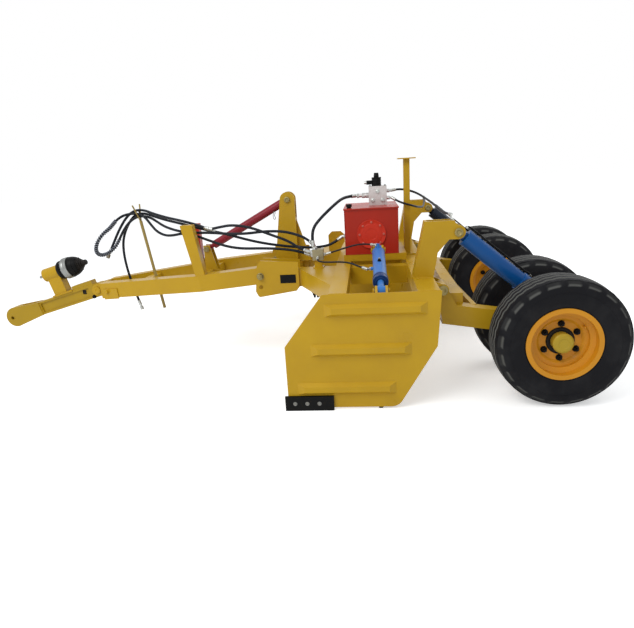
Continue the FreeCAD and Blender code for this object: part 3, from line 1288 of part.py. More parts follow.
def tyre(y, out):
    w = TYRE_WIDTH / 2
    R = TYRE_R
    bead = RIM_WIDTH / 2 - RIM_WALL
    outer = [
        [(-bead, RIM_SEAT_R), (-bead, RIM_LIP_R + 4)],
        [(-bead, RIM_LIP_R + 4), (-w, R - 88), (-w + 18, R - 24)],
        [(-w + 18, R - 24), (-w + 27, R - 10), (-w + 42, R - 5)],
        [(-w + 42, R - 5), (0, R), (w - 42, R - 5)],
        [(w - 42, R - 5), (w - 27, R - 10), (w - 18, R - 24)],
        [(w - 18, R - 24), (w, R - 88), (bead, RIM_LIP_R + 4)],
        [(bead, RIM_LIP_R + 4), (bead, RIM_SEAT_R)],
        [(bead, RIM_SEAT_R), (bead - 24, RIM_SEAT_R)],
        [(bead - 24, RIM_SEAT_R), (w - 14, R - 88), (w - 42, R - 28)],
        [(w - 42, R - 28), (0, R - 22), (-w + 42, R - 28)],
        [(-w + 42, R - 28), (-w + 14, R - 88), (-bead + 24, RIM_SEAT_R)],
        [(-bead + 24, RIM_SEAT_R), (-bead, RIM_SEAT_R)],
    ]
    solid = section_face(outer, out).revolve(vec(0, 0, 0), vec(0, 1, 0), 360)
    solid.translate(vec(AXLE_X, y, AXLE_Z))
    return solid


def rim(y, out):
    b = RIM_WIDTH / 2
    w = RIM_WALL
    seat = RIM_SEAT_R
    points = [(-b, RIM_LIP_R), (-b + w, RIM_LIP_R), (-b + w, seat), (-b + 50, seat),
              (-b + 62, seat - 28), (b - 62, seat - 28), (b - 50, seat),
              (b - w, seat), (b - w, RIM_LIP_R), (b, RIM_LIP_R), (b, seat - w),
              (b - 46, seat - w), (b - 58, seat - 28 - w),
              (DISC_T + 12, seat - 28 - w), (DISC_T + 12, seat - 60),
              (DISC_T, HUB_R + 40), (DISC_T, DISC_BORE_R), (DISC_T - 12, DISC_BORE_R),
              (DISC_T - 12, HUB_R + 40), (DISC_T, seat - 60), (DISC_T, seat - 28 - w),
              (-b + 58, seat - 28 - w), (-b + 46, seat - w), (-b, seat - w)]
    shape = turned(points, y, out)
    holes = []
    for k in range(STUD_COUNT):
        a = 2 * pi * k / STUD_COUNT + pi / 6
        x, z = AXLE_X + STUD_PCD / 2 * cos(a), AXLE_Z + STUD_PCD / 2 * sin(a)
        holes.append(cyl(vec(x, y + out * (DISC_T - 30), z), vec(x, y + out * (DISC_T + 30), z),
                         STUD_HOLE_R))
    return shape.cut(holes)


def hub(y, out):
    t0 = DISC_T - 12
    points = [(t0 - 110, SPINDLE_R + BODY_GAP), (t0 - 110, HUB_R - 18), (t0 - 10, HUB_R - 6),
              (t0 - 10, STUD_PCD / 2 + 18), (t0, STUD_PCD / 2 + 18), (t0, HUB_R),
              (DISC_T + 8, HUB_R - 6), (DISC_T + 8, HUB_CAP_R), (CAP_T - 8, HUB_CAP_R),
              (CAP_T, HUB_CAP_R - 8), (CAP_T, 0), (SPINDLE_REACH + BODY_GAP * 4, 0),
              (SPINDLE_REACH + BODY_GAP * 4, SPINDLE_R + BODY_GAP)]
    return turned(points, y, out)


for side, s in SIDES:
    for t, wheel_y, place in ((1, WHEEL_Y[1], "outer"), (-1, WHEEL_Y[0], "inner")):
        label = "%s_%s" % (side, place)
        save("tyre_" + label, tyre(s * wheel_y, s * t))
        save("rim_" + label, rim(s * wheel_y, s * t))
        save("hub_" + label, hub(s * wheel_y, s * t))
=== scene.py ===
# %% [markdown]
# # A towed laser land leveler
#
# This machine scrapes a field flat. A tractor pulls it by the long drawbar,
# the bucket between the two ribbed end plates drags the soil, and hydraulic
# cylinders lift the bucket on four wheels. The solid parts come from the CAD
# frame; this lesson dresses them: hoses, tread, bolts, welds and finishes.

# %% Load the frame
import bmesh
import bpy
import math
from math import cos, pi, radians, sin
from mathutils import Matrix, Vector


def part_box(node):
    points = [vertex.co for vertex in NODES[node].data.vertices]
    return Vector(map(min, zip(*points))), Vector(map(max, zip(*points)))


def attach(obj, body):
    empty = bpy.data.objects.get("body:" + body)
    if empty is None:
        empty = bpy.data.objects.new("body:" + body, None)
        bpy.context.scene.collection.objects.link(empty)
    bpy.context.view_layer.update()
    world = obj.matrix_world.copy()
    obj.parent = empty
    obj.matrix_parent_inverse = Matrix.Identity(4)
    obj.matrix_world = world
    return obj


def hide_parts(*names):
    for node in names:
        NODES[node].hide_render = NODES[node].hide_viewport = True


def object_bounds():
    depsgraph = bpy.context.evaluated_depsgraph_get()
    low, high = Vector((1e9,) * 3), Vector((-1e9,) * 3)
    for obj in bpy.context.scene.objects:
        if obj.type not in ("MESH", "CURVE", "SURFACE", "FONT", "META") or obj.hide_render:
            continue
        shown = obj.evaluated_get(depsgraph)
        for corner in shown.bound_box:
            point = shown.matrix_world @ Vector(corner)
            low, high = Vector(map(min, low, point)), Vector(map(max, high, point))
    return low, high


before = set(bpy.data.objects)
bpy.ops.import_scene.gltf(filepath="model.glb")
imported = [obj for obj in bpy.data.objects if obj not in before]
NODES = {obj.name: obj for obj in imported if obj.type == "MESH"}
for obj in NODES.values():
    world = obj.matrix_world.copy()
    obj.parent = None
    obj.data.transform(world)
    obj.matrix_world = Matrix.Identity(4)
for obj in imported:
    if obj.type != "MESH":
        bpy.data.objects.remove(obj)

cad_low, cad_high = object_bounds()
print("CAD box from", tuple(round(v, 3) for v in cad_low),
      "to", tuple(round(v, 3) for v in cad_high))

# %% [markdown]
# ## The camera
#
# The whole machine is seen from its left side, a little from above. A short
# distance and a wide lens give the strong perspective of someone who stands
# close by, so the near wheel looms and the far ones shrink. The camera is placed from the
# rear end of the machine, where the tyres touch the box.

# %% Camera
CAMERA_AHEAD = 1.455        # metres ahead of the rear end of the tyres
CAMERA_SIDE = -4.233
CAMERA_HEIGHT = 1.445
CAMERA_YAW = -0.1045
CAMERA_PITCH = -0.2744
CAMERA_ROLL = 0.0596
LENS_MM = 30.55


def aim_camera():
    """Build the camera's turn from its yaw, pitch and roll."""
    yaw, pitch, roll = CAMERA_YAW, CAMERA_PITCH, CAMERA_ROLL
    ahead = Vector((sin(yaw) * cos(pitch), cos(yaw) * cos(pitch), sin(pitch)))
    level = Vector((cos(yaw), -sin(yaw), 0))
    above = Vector((-sin(yaw) * sin(pitch), -cos(yaw) * sin(pitch), cos(pitch)))
    right = level * cos(roll) - above * sin(roll)
    up = level * sin(roll) + above * cos(roll)
    turn = Matrix((right, up, -ahead)).transposed().to_4x4()
    place = Vector((cad_high.x - CAMERA_AHEAD, CAMERA_SIDE, CAMERA_HEIGHT))
    return Matrix.Translation(place) @ turn


camera_data = bpy.data.cameras.new("yard_camera")
camera_data.lens = LENS_MM
camera_data.sensor_width = 36
camera = bpy.data.objects.new("yard_camera", camera_data)
bpy.context.scene.collection.objects.link(camera)
camera.matrix_world = aim_camera()
bpy.context.scene.camera = camera
print("camera at", tuple(round(v, 3) for v in camera.location))

# %% [markdown]
# ## Colours and nodes
#
# Paint makers give colours as sRGB hex codes, and Blender's shaders want
# linear light, so one function turns the first into the second. A second one
# adds a shader node, sets it up and plugs it in, which keeps every finish
# below short enough to read.

# %% Colour and node helpers
def srgb(code, alpha=1.0):
    """Linear colour for a hex code such as #C8AA46."""
    shares = [int(code[k:k + 2], 16) / 255 for k in (1, 3, 5)]
    light = [v / 12.92 if v <= 0.04045 else ((v + 0.055) / 1.055) ** 2.4 for v in shares]
    return (*light, alpha)


def add(tree, kind, inputs=None, **settings):
    """Add a node; inputs gives values or the sockets that feed it."""
    node = tree.nodes.new(kind)
    for name, value in settings.items():
        setattr(node, name, value)
    for name, value in (inputs or {}).items():
        if isinstance(value, bpy.types.NodeSocket):
            tree.links.new(value, node.inputs[name])
        else:
            node.inputs[name].default_value = value
    return node


def new_finish(name):
    """Empty material with its output; returns it, its tree and the output."""
    material = bpy.data.materials.new(name)
    material.use_nodes = True
    tree = material.node_tree
    tree.nodes.clear()
    output = tree.nodes.new("ShaderNodeOutputMaterial")
    return material, tree, output


def seen_directly(tree):
    """Socket that is 1 for rays from the camera and from reflections."""
    rays = add(tree, "ShaderNodeLightPath")
    return add(tree, "ShaderNodeMath", {0: rays.outputs["Is Camera Ray"],
                                        1: rays.outputs["Is Glossy Ray"]},
               operation="MAXIMUM").outputs[0]


print("helpers ready")

# %% [markdown]
# ## The yard floor and the light
#
# A plain pale floor catches the soft shadow under the machine. It is white to
# the camera and to reflections, through the light path's ray kinds, while the
# light that falls on the machine stays at a plain level. One large soft lamp
# above and ahead gives the paint its broad highlights, and a weaker one from
# behind lifts the far side.

# %% World and lamps
SKY_LIGHT = 0.68            # sky that falls on the machine; the seen one is white
world = bpy.data.worlds.new("pale_sky")
bpy.context.scene.world = world
world.use_nodes = True
tree = world.node_tree
tree.nodes.clear()
sky_light = add(tree, "ShaderNodeBackground", {"Color": srgb("#F2F5FA"),
                                               "Strength": SKY_LIGHT})
sky_seen = add(tree, "ShaderNodeBackground", {"Color": srgb("#FFFFFF"), "Strength": 1.0})
sky = add(tree, "ShaderNodeMixShader", {0: seen_directly(tree), 1: sky_light.outputs[0],
                                        2: sky_seen.outputs[0]})
add(tree, "ShaderNodeOutputWorld", {"Surface": sky.outputs[0]})


def soft_lamp(name, place, aim, size, watts):
    """Square area lamp at a place, looking at a point."""
    data = bpy.data.lights.new(name, "AREA")
    data.size = size
    data.energy = watts
    lamp = bpy.data.objects.new(name, data)
    bpy.context.scene.collection.objects.link(lamp)
    lamp.location = place
    lamp.rotation_euler = (Vector(aim) - Vector(place)).to_track_quat("-Z", "Y").to_euler()


soft_lamp("key_lamp", (-2.5, -4.5, 6.0), (0, 0, 0.4), 4.0, 270)
soft_lamp("fill_lamp", (4.5, 3.5, 4.5), (0.5, 0, 0.5), 4.0, 95)
bpy.context.scene.view_settings.view_transform = "Standard"
print("world and", len(bpy.data.lights), "lamps")

# %% Floor
FLOOR_GLOW = 0.46           # lifts what is seen of the floor to white
bpy.ops.object.select_all(action="DESELECT")
bpy.ops.mesh.primitive_plane_add(size=60, location=(0, 0, cad_low.z))
floor = bpy.context.object
floor.name = "yard_floor"
material, tree, output = new_finish("pale_concrete_sweep")
matt = add(tree, "ShaderNodeBsdfDiffuse", {"Color": srgb("#F4F4F2")})
lift = add(tree, "ShaderNodeEmission", {"Color": srgb("#FFFFFF"),
                                        "Strength": FLOOR_GLOW})
bright = add(tree, "ShaderNodeAddShader", {0: matt.outputs[0], 1: lift.outputs[0]})
mixed = add(tree, "ShaderNodeMixShader", {0: seen_directly(tree), 1: matt.outputs[0],
                                          2: bright.outputs[0]})
tree.links.new(mixed.outputs[0], output.inputs["Surface"])
floor.data.materials.append(material)
print("floor at", round(cad_low.z, 3))

# %% [markdown]
# ## Enamel paint
#
# The frame and the bucket are steel plate sprayed with two coats of yellow
# machine enamel. Enamel has the IOR of a varnish, about 1.5, no metallic
# share and a fine orange peel of two or three millimetres. Sprayed by hand, its
# coat is thinner in patches about a foot's length across, where the tone and
# the gloss are a little different.

# %% Enamel
PEEL_MM = 2.5               # spacing of the orange peel
DRIFT_MM = 260              # size of the patches where the coat is thinner


def enamel(name, body, thin, rough=0.32, peel=0.05, coat=0.04, gleam=0.2):
    """Sprayed gloss enamel: body colour, and the colour where it is thin."""
    material, tree, output = new_finish(name)
    place = add(tree, "ShaderNodeTexCoord").outputs["Object"]
    drift = add(tree, "ShaderNodeTexNoise", {"Vector": place, "Scale": 1000 / DRIFT_MM,
                                             "Detail": 4.0, "Roughness": 0.55})
    share = add(tree, "ShaderNodeMapRange", {0: drift.outputs[0], 1: 0.25, 2: 0.75})
    tone = add(tree, "ShaderNodeMix", {0: share.outputs[0], 6: srgb(thin), 7: srgb(body)},
               data_type="RGBA")
    grain = add(tree, "ShaderNodeTexNoise", {"Vector": place, "Scale": 1000 / PEEL_MM,
                                             "Detail": 2.0})
    gloss = add(tree, "ShaderNodeMapRange", {0: drift.outputs[0], 1: 0.3, 2: 0.7,
                                             3: rough - 0.06, 4: rough + 0.1})
    bump = add(tree, "ShaderNodeBump", {"Height": grain.outputs[0], "Strength": peel,
                                        "Distance": 0.001})
    shader = add(tree, "ShaderNodeBsdfPrincipled", {
        "Base Color": tone.outputs[2], "Roughness": gloss.outputs[0],
        "Normal": bump.outputs[0], "IOR": 1.5, "Specular IOR Level": gleam,
        "Coat Weight": coat, "Coat Roughness": 0.12})
    tree.links.new(shader.outputs[0], output.inputs["Surface"])
    return material


YELLOW_TONE = "#C0991C"
YELLOW = enamel("yellow_enamel", YELLOW_TONE, "#B48D18")
# The tongue's darker, greener yellow is painted shade: its web lies in shade under the top
# flange.
TONGUE_YELLOW_PAINTED_SHADE = enamel("tongue_enamel_painted_shade", "#B08E1C", "#A48418")
RIM_ORANGE = enamel("orange_wheel_enamel", "#D4911E", "#C9861A")
RED = enamel("red_enamel", "#B02A18", "#A02414")
COVER_RED = enamel("bright_red_cover_enamel", "#CC3420", "#C22E1C")
# Pale red for the tank cover's red-painted bolts is painted glint.
BOLT_RED_PAINTED_GLINT = enamel("red_bolts_painted_glint", "#C8685C", "#B8564C")
STAY_RED = enamel("dark_red_stay_enamel", "#8E2430", "#7C1E2A")
BLUE = enamel("blue_cylinder_enamel", "#0C5090", "#0A4884")
LIGHT_BLUE = enamel("light_blue_enamel", "#3C7CC6", "#3470B6")
# Near-black for the far lift cylinder, which lies in shade, is painted shade.
FAR_CYLINDER_PAINTED_SHADE = enamel("far_cylinder_enamel_painted_shade", "#182230", "#121A26")
NAVY = enamel("navy_gland_enamel", "#173C74", "#143566")
CAP_YELLOW = enamel("yellow_cap_enamel", "#B2962A", "#A68A22", rough=0.36)
ROD_OLIVE = enamel("olive_rod_enamel", "#A38F50", "#968148", rough=0.5, coat=0.05)
BLACK = enamel("black_satin_enamel", "#070707", "#0D0D0D", rough=0.45, coat=0.0, gleam=0.12)
print("enamels:", [m.name for m in (YELLOW, TONGUE_YELLOW_PAINTED_SHADE, RIM_ORANGE, RED, COVER_RED, BOLT_RED_PAINTED_GLINT,
                                    STAY_RED, BLUE, LIGHT_BLUE, FAR_CYLINDER_PAINTED_SHADE, NAVY, CAP_YELLOW,
                                    ROD_OLIVE, BLACK)])

# %% [markdown]
# ## Bare metal and castings
#
# Fittings and spindles are zinc plated steel: a metal with a bright grey tone
# and fine turning marks. Pins have caught some of the frame's paint, which
# gives them a dull ochre tone. The lift cylinders' rods are ground and hard
# chromed, so they are smoother. The valve block is a casting, coarser and
# paler.

# %% Metals
DULL_PATCHES = 18.0         # duller patches on a metre of metal


def metal(name, tone, rough, grain_mm=0.6, marks=0.08):
    """Bare or plated metal with fine machining marks."""
    material, tree, output = new_finish(name)
    place = add(tree, "ShaderNodeTexCoord").outputs["Object"]
    grain = add(tree, "ShaderNodeTexNoise", {"Vector": place, "Scale": 1000 / grain_mm,
                                             "Detail": 2.0})
    cloud = add(tree, "ShaderNodeTexNoise", {"Vector": place, "Scale": DULL_PATCHES,
                                             "Detail": 3.0})
    gloss = add(tree, "ShaderNodeMapRange", {0: cloud.outputs[0], 1: 0.3, 2: 0.7,
                                             3: rough - 0.07, 4: rough + 0.09})
    bump = add(tree, "ShaderNodeBump", {"Height": grain.outputs[0], "Strength": marks,
                                        "Distance": 0.0005})
    shader = add(tree, "ShaderNodeBsdfPrincipled", {
        "Base Color": srgb(tone), "Metallic": 1.0, "Roughness": gloss.outputs[0],
        "Normal": bump.outputs[0]})
    tree.links.new(shader.outputs[0], output.inputs["Surface"])
    return material


ZINC = metal("zinc_plated_steel", "#B9BBB8", 0.34)
STEEL = metal("dull_turned_steel", "#8E908E", 0.42)
CHROME = metal("hard_chrome_rod", "#D6D8DA", 0.14, marks=0.02)
PIN = metal("oversprayed_pin_steel", "#8F8256", 0.5)
WORN = metal("worn_bolt_steel", "#777773", 0.45)
MANIFOLD = metal("manifold_steel", "#958D72", 0.48)
CASTING = metal("cast_aluminium_block", "#C6C2C0", 0.5, grain_mm=1.6, marks=0.25)
BRASS = metal("dull_brass_coupling", "#6E6450", 0.45)
print("metals:", [m.name for m in (ZINC, STEEL, CHROME, PIN, WORN, MANIFOLD, CASTING,
                                  BRASS)])

# %% [markdown]
# The hose manifold was bolted to its rail before the frame was sprayed, so its
# lower part carries the frame's yellow and its upper part is bare. A mask on
# the height of a point picks one of two shaders. Height is read from Object
# coordinates, which stay put on the piece, so the line doesn't slide.

# %% Overspray on the manifold
SPRAYED_UP_TO = 0.757       # metres over the ground
tree = MANIFOLD.node_tree
old = next(node for node in tree.nodes if node.type == "BSDF_PRINCIPLED")
height = add(tree, "ShaderNodeSeparateXYZ", {
    0: add(tree, "ShaderNodeTexCoord").outputs["Object"]}).outputs["Z"]
over = add(tree, "ShaderNodeMath", {0: height, 1: SPRAYED_UP_TO}, operation="GREATER_THAN")
paint = add(tree, "ShaderNodeBsdfPrincipled", {"Base Color": srgb(YELLOW_TONE),
                                               "Roughness": 0.32, "Specular IOR Level": 0.2})
both = add(tree, "ShaderNodeMixShader", {0: over.outputs[0], 1: paint.outputs[0],
                                         2: old.outputs[0]})
end = next(node for node in tree.nodes if node.type == "OUTPUT_MATERIAL")
tree.links.new(both.outputs[0], end.inputs["Surface"])
print("manifold sprayed up to", SPRAYED_UP_TO, "m")

# %% [markdown]
# ## Rubber and plastic
#
# Tyres are carbon black rubber with a dull, slightly dusty skin. Hoses have a
# smoother cover, and the spiral wrap is plastic whose pale grey is partly its
# own tone and partly painted highlight on its turns. All are moulded, so one
# function makes them. Where a piece carries an attribute named scuff, the
# rubber is rubbed pale by that share. The dark moulding finish also serves as
# painted shade, for the ring in each wheel's bore and the slots in the tongue.

# %% Rubber
SCUFF = "#8A8A84"           # rubber rubbed pale along the edges of the tread
DUSTY_PATCHES = 9.0         # dusty patches on a metre of rubber


def rubber(name, tone, dusty, rough=0.62, grain_mm=1.2):
    """Moulded rubber: matt, finely grained, dusty in patches, pale at scuffs."""
    material, tree, output = new_finish(name)
    place = add(tree, "ShaderNodeTexCoord").outputs["Object"]
    cloud = add(tree, "ShaderNodeTexNoise", {"Vector": place, "Scale": DUSTY_PATCHES,
                                             "Detail": 5.0})
    share = add(tree, "ShaderNodeMapRange", {0: cloud.outputs[0], 1: 0.45, 2: 0.75})
    colour = add(tree, "ShaderNodeMix", {0: share.outputs[0], 6: srgb(tone), 7: srgb(dusty)},
                 data_type="RGBA")
    scuffs = add(tree, "ShaderNodeAttribute", attribute_name="scuff").outputs["Fac"]
    colour = add(tree, "ShaderNodeMix", {0: scuffs, 6: colour.outputs[2], 7: srgb(SCUFF)},
                 data_type="RGBA")
    grain = add(tree, "ShaderNodeTexNoise", {"Vector": place, "Scale": 1000 / grain_mm,
                                             "Detail": 3.0})
    bump = add(tree, "ShaderNodeBump", {"Height": grain.outputs[0], "Strength": 0.2,
                                        "Distance": 0.0008})
    shader = add(tree, "ShaderNodeBsdfPrincipled", {
        "Base Color": colour.outputs[2], "Roughness": rough, "IOR": 1.5,
        "Specular IOR Level": 0.16, "Normal": bump.outputs[0]})
    tree.links.new(shader.outputs[0], output.inputs["Surface"])
    return material


TYRE = rubber("tyre_rubber", "#0D0D11", "#1E1E20", rough=0.7)
HOSE = rubber("hose_rubber", "#191C22", "#23272E", rough=0.45, grain_mm=0.8)
# The wrap's pale grey is partly its own tone and partly painted highlight.
SPIRAL_WRAP_AND_PAINTED_SHEEN = rubber("spiral_wrap_plastic_and_painted_sheen", "#70747C", "#82868E", rough=0.3)
# Real dark rubber for the strap and boot, and painted shade for the wheel bore rings and tongue
# slots.
DARK_RUBBER_AND_PAINTED_SHADE = rubber("dark_moulding_and_painted_shade", "#161311", "#201C19", rough=0.55)
print("rubber and plastic:", [m.name for m in (TYRE, HOSE, SPIRAL_WRAP_AND_PAINTED_SHEEN, DARK_RUBBER_AND_PAINTED_SHADE)])

# %% [markdown]
# ## Modelling helpers
#
# Small machine parts repeat: bolt heads, nuts, turned rings, weld beads. Each
# kind gets one helper that models it by hand, with a primitive and edit mode
# operators, standing on the origin along Z. A second helper sets copies of it
# where the machine has them and joins each group into one piece, so that a
# cover's eight bolts are one object to dress and to move.

# %% Edit mode helpers
def settle():
    """Leave edit mode and deselect everything."""
    if bpy.context.object and bpy.context.object.mode == "EDIT":
        bpy.ops.object.mode_set(mode="OBJECT")
    bpy.ops.object.select_all(action="DESELECT")


def open_piece(piece):
    """Put one piece in edit mode with nothing selected."""
    settle()
    piece.select_set(True)
    bpy.context.view_layer.objects.active = piece
    bpy.ops.object.mode_set(mode="EDIT")
    bpy.ops.mesh.select_all(action="DESELECT")


def pick(piece, test):
    """Select the faces whose middle and normal pass the test."""
    bpy.ops.mesh.select_all(action="DESELECT")
    bpy.ops.mesh.select_mode(type="FACE")
    cage = bmesh.from_edit_mesh(piece.data)
    for face in cage.faces:
        if test(face.calc_center_median(), face.normal):
            face.select_set(True)
    cage.select_flush_mode()
    bmesh.update_edit_mesh(piece.data)


def pick_top(piece):
    """Select the faces that look up."""
    pick(piece, lambda middle, normal: normal.z > 0.9)


def inset(width, rise=0.0):
    """Inset the selected faces, then lift what is inside."""
    bpy.ops.mesh.inset(thickness=width)
    if rise:
        bpy.ops.transform.translate(value=(0, 0, rise))


def close_piece(piece, smooth_under=35):
    """Back to object mode, normals outward, smooth below an angle."""
    bpy.ops.mesh.select_all(action="SELECT")
    bpy.ops.mesh.normals_make_consistent(inside=False)
    settle()
    piece.select_set(True)
    bpy.context.view_layer.objects.active = piece
    bpy.ops.object.transform_apply(location=True, rotation=True, scale=True)
    bpy.ops.object.shade_smooth_by_angle(angle=radians(smooth_under))
    piece.select_set(False)
    return piece


print("edit mode helpers ready")

# %% Helpers that set out copies
def dress(piece, finish):
    """Put one finish on a whole piece."""
    piece.data.materials.clear()
    piece.data.materials.append(finish)


def standing(place, along):
    """Matrix that takes the origin to a place and Z to a direction."""
    turn = Vector(along).to_track_quat("Z", "Y").to_matrix().to_4x4()
    return Matrix.Translation(Vector(place)) @ turn


def set_out(model, spots, name, body, finish):
    """Copies of a model at (place, direction) spots, joined into one piece."""
    settle()
    for place, along in spots:
        copy = bpy.data.objects.new(name, model.data.copy())
        copy.data.transform(standing(place, along))
        bpy.context.scene.collection.objects.link(copy)
        copy.select_set(True)
        bpy.context.view_layer.objects.active = copy
    if len(spots) > 1:
        bpy.ops.object.join()
    piece = bpy.context.view_layer.objects.active
    piece.name = piece.data.name = name
    piece.select_set(False)
    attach(piece, body)
    dress(piece, finish)
    return piece


def scrap(model):
    """Throw away a model once its copies are set out."""
    bpy.data.objects.remove(model)


print("copy helpers ready")

# %% [markdown]
# A bolt head is a six-sided cylinder whose top face is inset and lifted, which
# gives the turned chamfer, on a washer. A nut on a stud has one more inset
# that is drawn up as the stud's end. Round pins get a stepped head with a
# countersunk middle.

# %% Bolts, nuts and pin heads
def cylinder(vertices, radius, low, high):
    """A cylinder from one height to another, open in edit mode."""
    bpy.ops.mesh.primitive_cylinder_add(vertices=vertices, radius=radius, depth=high - low,
                                        location=(0, 0, (low + high) / 2))
    model = bpy.context.object
    bpy.ops.object.transform_apply(location=True)
    open_piece(model)
    return model


def bolt_head(across, stud=0.0):
    """Head or nut on its washer, sized across its flats; stud is a stud's height."""
    height, washer = across * 0.62, across * 0.14
    model = cylinder(6, across / 3 ** 0.5, washer, washer + height)
    pick_top(model)
    inset(across * 0.08, across * 0.05)
    if stud:
        inset(across * 0.14)
        bpy.ops.mesh.extrude_region_move(TRANSFORM_OT_translate={"value": (0, 0, stud)})
        inset(across * 0.05, across * 0.05)
    bpy.ops.mesh.select_all(action="DESELECT")
    bpy.ops.mesh.primitive_cylinder_add(vertices=20, radius=across * 0.74, depth=washer,
                                        location=(0, 0, washer / 2))
    pick(model, lambda middle, normal: normal.z > 0.9 and middle.z < washer * 1.01)
    inset(across * 0.06, washer * 0.3)
    return close_piece(model, 25)


def pin_head(radius, height):
    """Stepped round head with a countersunk middle."""
    model = cylinder(28, radius, 0, height)
    pick_top(model)
    inset(radius * 0.14, height * 0.25)
    inset(radius * 0.3)
    inset(radius * 0.14, -height * 0.4)
    return close_piece(model)


def lathe(outline, steps=40):
    """Lathe work: an outline of (height, radius) points spun round Z."""
    mesh = bpy.data.meshes.new("turned_model")
    mesh.from_pydata([(radius, 0, height) for height, radius in outline],
                     [(k, k + 1) for k in range(len(outline) - 1)], [])
    model = bpy.data.objects.new("turned_model", mesh)
    bpy.context.scene.collection.objects.link(model)
    open_piece(model)
    bpy.ops.mesh.select_all(action="SELECT")
    bpy.ops.mesh.spin(steps=steps, angle=2 * pi, center=(0, 0, 0), axis=(0, 0, 1))
    bpy.ops.mesh.select_all(action="SELECT")
    bpy.ops.mesh.remove_doubles(threshold=0.00002)
    return close_piece(model)


def turned(name, outline, place, along, body, finish, steps=40):
    """One turned piece at a place, its axis along a direction."""
    model = lathe(outline, steps)
    piece = set_out(model, [(place, along)], name, body, finish)
    scrap(model)
    return piece


print("bolt, pin and lathe helpers ready")

# %% [markdown]
# Welds, pipes and wire follow a line, so each is a curve with a round bevel
# that is made a mesh. Three helpers do that: one starts the curve, one adds a
# line of points, and one turns it into a finished piece on its body.

# %% Curve helpers
def curve_data(name, thickness, round_steps, caps=True):
    """An empty curve with a round bevel."""
    data = bpy.data.curves.new(name, "CURVE")
    data.dimensions = "3D"
    data.bevel_depth = thickness
    data.bevel_resolution = round_steps
    data.use_fill_caps = caps
    return data


def curve_line(data, kind, places, radius=1.0):
    """Add one line of points to a curve."""
    line = data.splines.new(kind)
    line.points.add(len(places) - 1)
    for point, place in zip(line.points, places):
        point.co = (*place, 1)
        point.radius = radius
    return line


def mesh_from(name, data, body, finish, smooth_under=180):
    """Turn a curve into a mesh piece that rides on a body."""
    piece = bpy.data.objects.new(name, data)
    bpy.context.scene.collection.objects.link(piece)
    settle()
    piece.select_set(True)
    bpy.context.view_layer.objects.active = piece
    bpy.ops.object.convert(target="MESH")
    piece = bpy.context.object
    if smooth_under < 180:
        bpy.ops.object.shade_smooth_by_angle(angle=radians(smooth_under))
    else:
        bpy.ops.object.shade_smooth()
    piece.select_set(False)
    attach(piece, body)
    dress(piece, finish)
    return piece


print("curve helpers ready")

# %% [markdown]
# A weld is a row of overlapping drops of steel. On a curve, points stand
# closer than the bead is wide, every second one a little thinner, and the
# bevel turns that into ripples. The bead takes the paint of the plates that
# it joins.

# %% Weld beads
RIPPLE = 0.006              # metres from one drop of the bead to the next


def weld(name, runs, size=0.004, body="frame", finish=YELLOW):
    """Rippled beads along runs of corners, in one piece."""
    data = curve_data(name, size, 1)
    for run in runs:
        corners = [Vector(corner) for corner in run]
        spots = []
        for a, b in zip(corners, corners[1:]):
            count = max(2, round((b - a).length / RIPPLE))
            spots += [a.lerp(b, k / count) for k in range(count)]
        line = curve_line(data, "POLY", spots + [corners[-1]])
        for k, point in enumerate(line.points):
            point.radius = (1.0, 0.78)[k % 2] * (1 + 0.1 * sin(k * 1.7))
    mesh_from(name, data, body, finish, smooth_under=60)


print("weld helper ready")

# %% [markdown]
# ## The hoses
#
# Eight rubber hydraulic hoses carry the oil. Two come from the tractor, hang
# over the forked rod and run back to the manifold and the tank. A long spare
# loop hangs from the fork, one feeds the valve on the tank, two thin ones
# work the cross cylinder and two run back to the lift cylinders. A hose could
# be a mesh tube, but a curve with a round bevel keeps its length exact, and a
# spline of order three bends as a hose does, with no corner. The routes are
# lists of points, in metres, that pull the spline along.

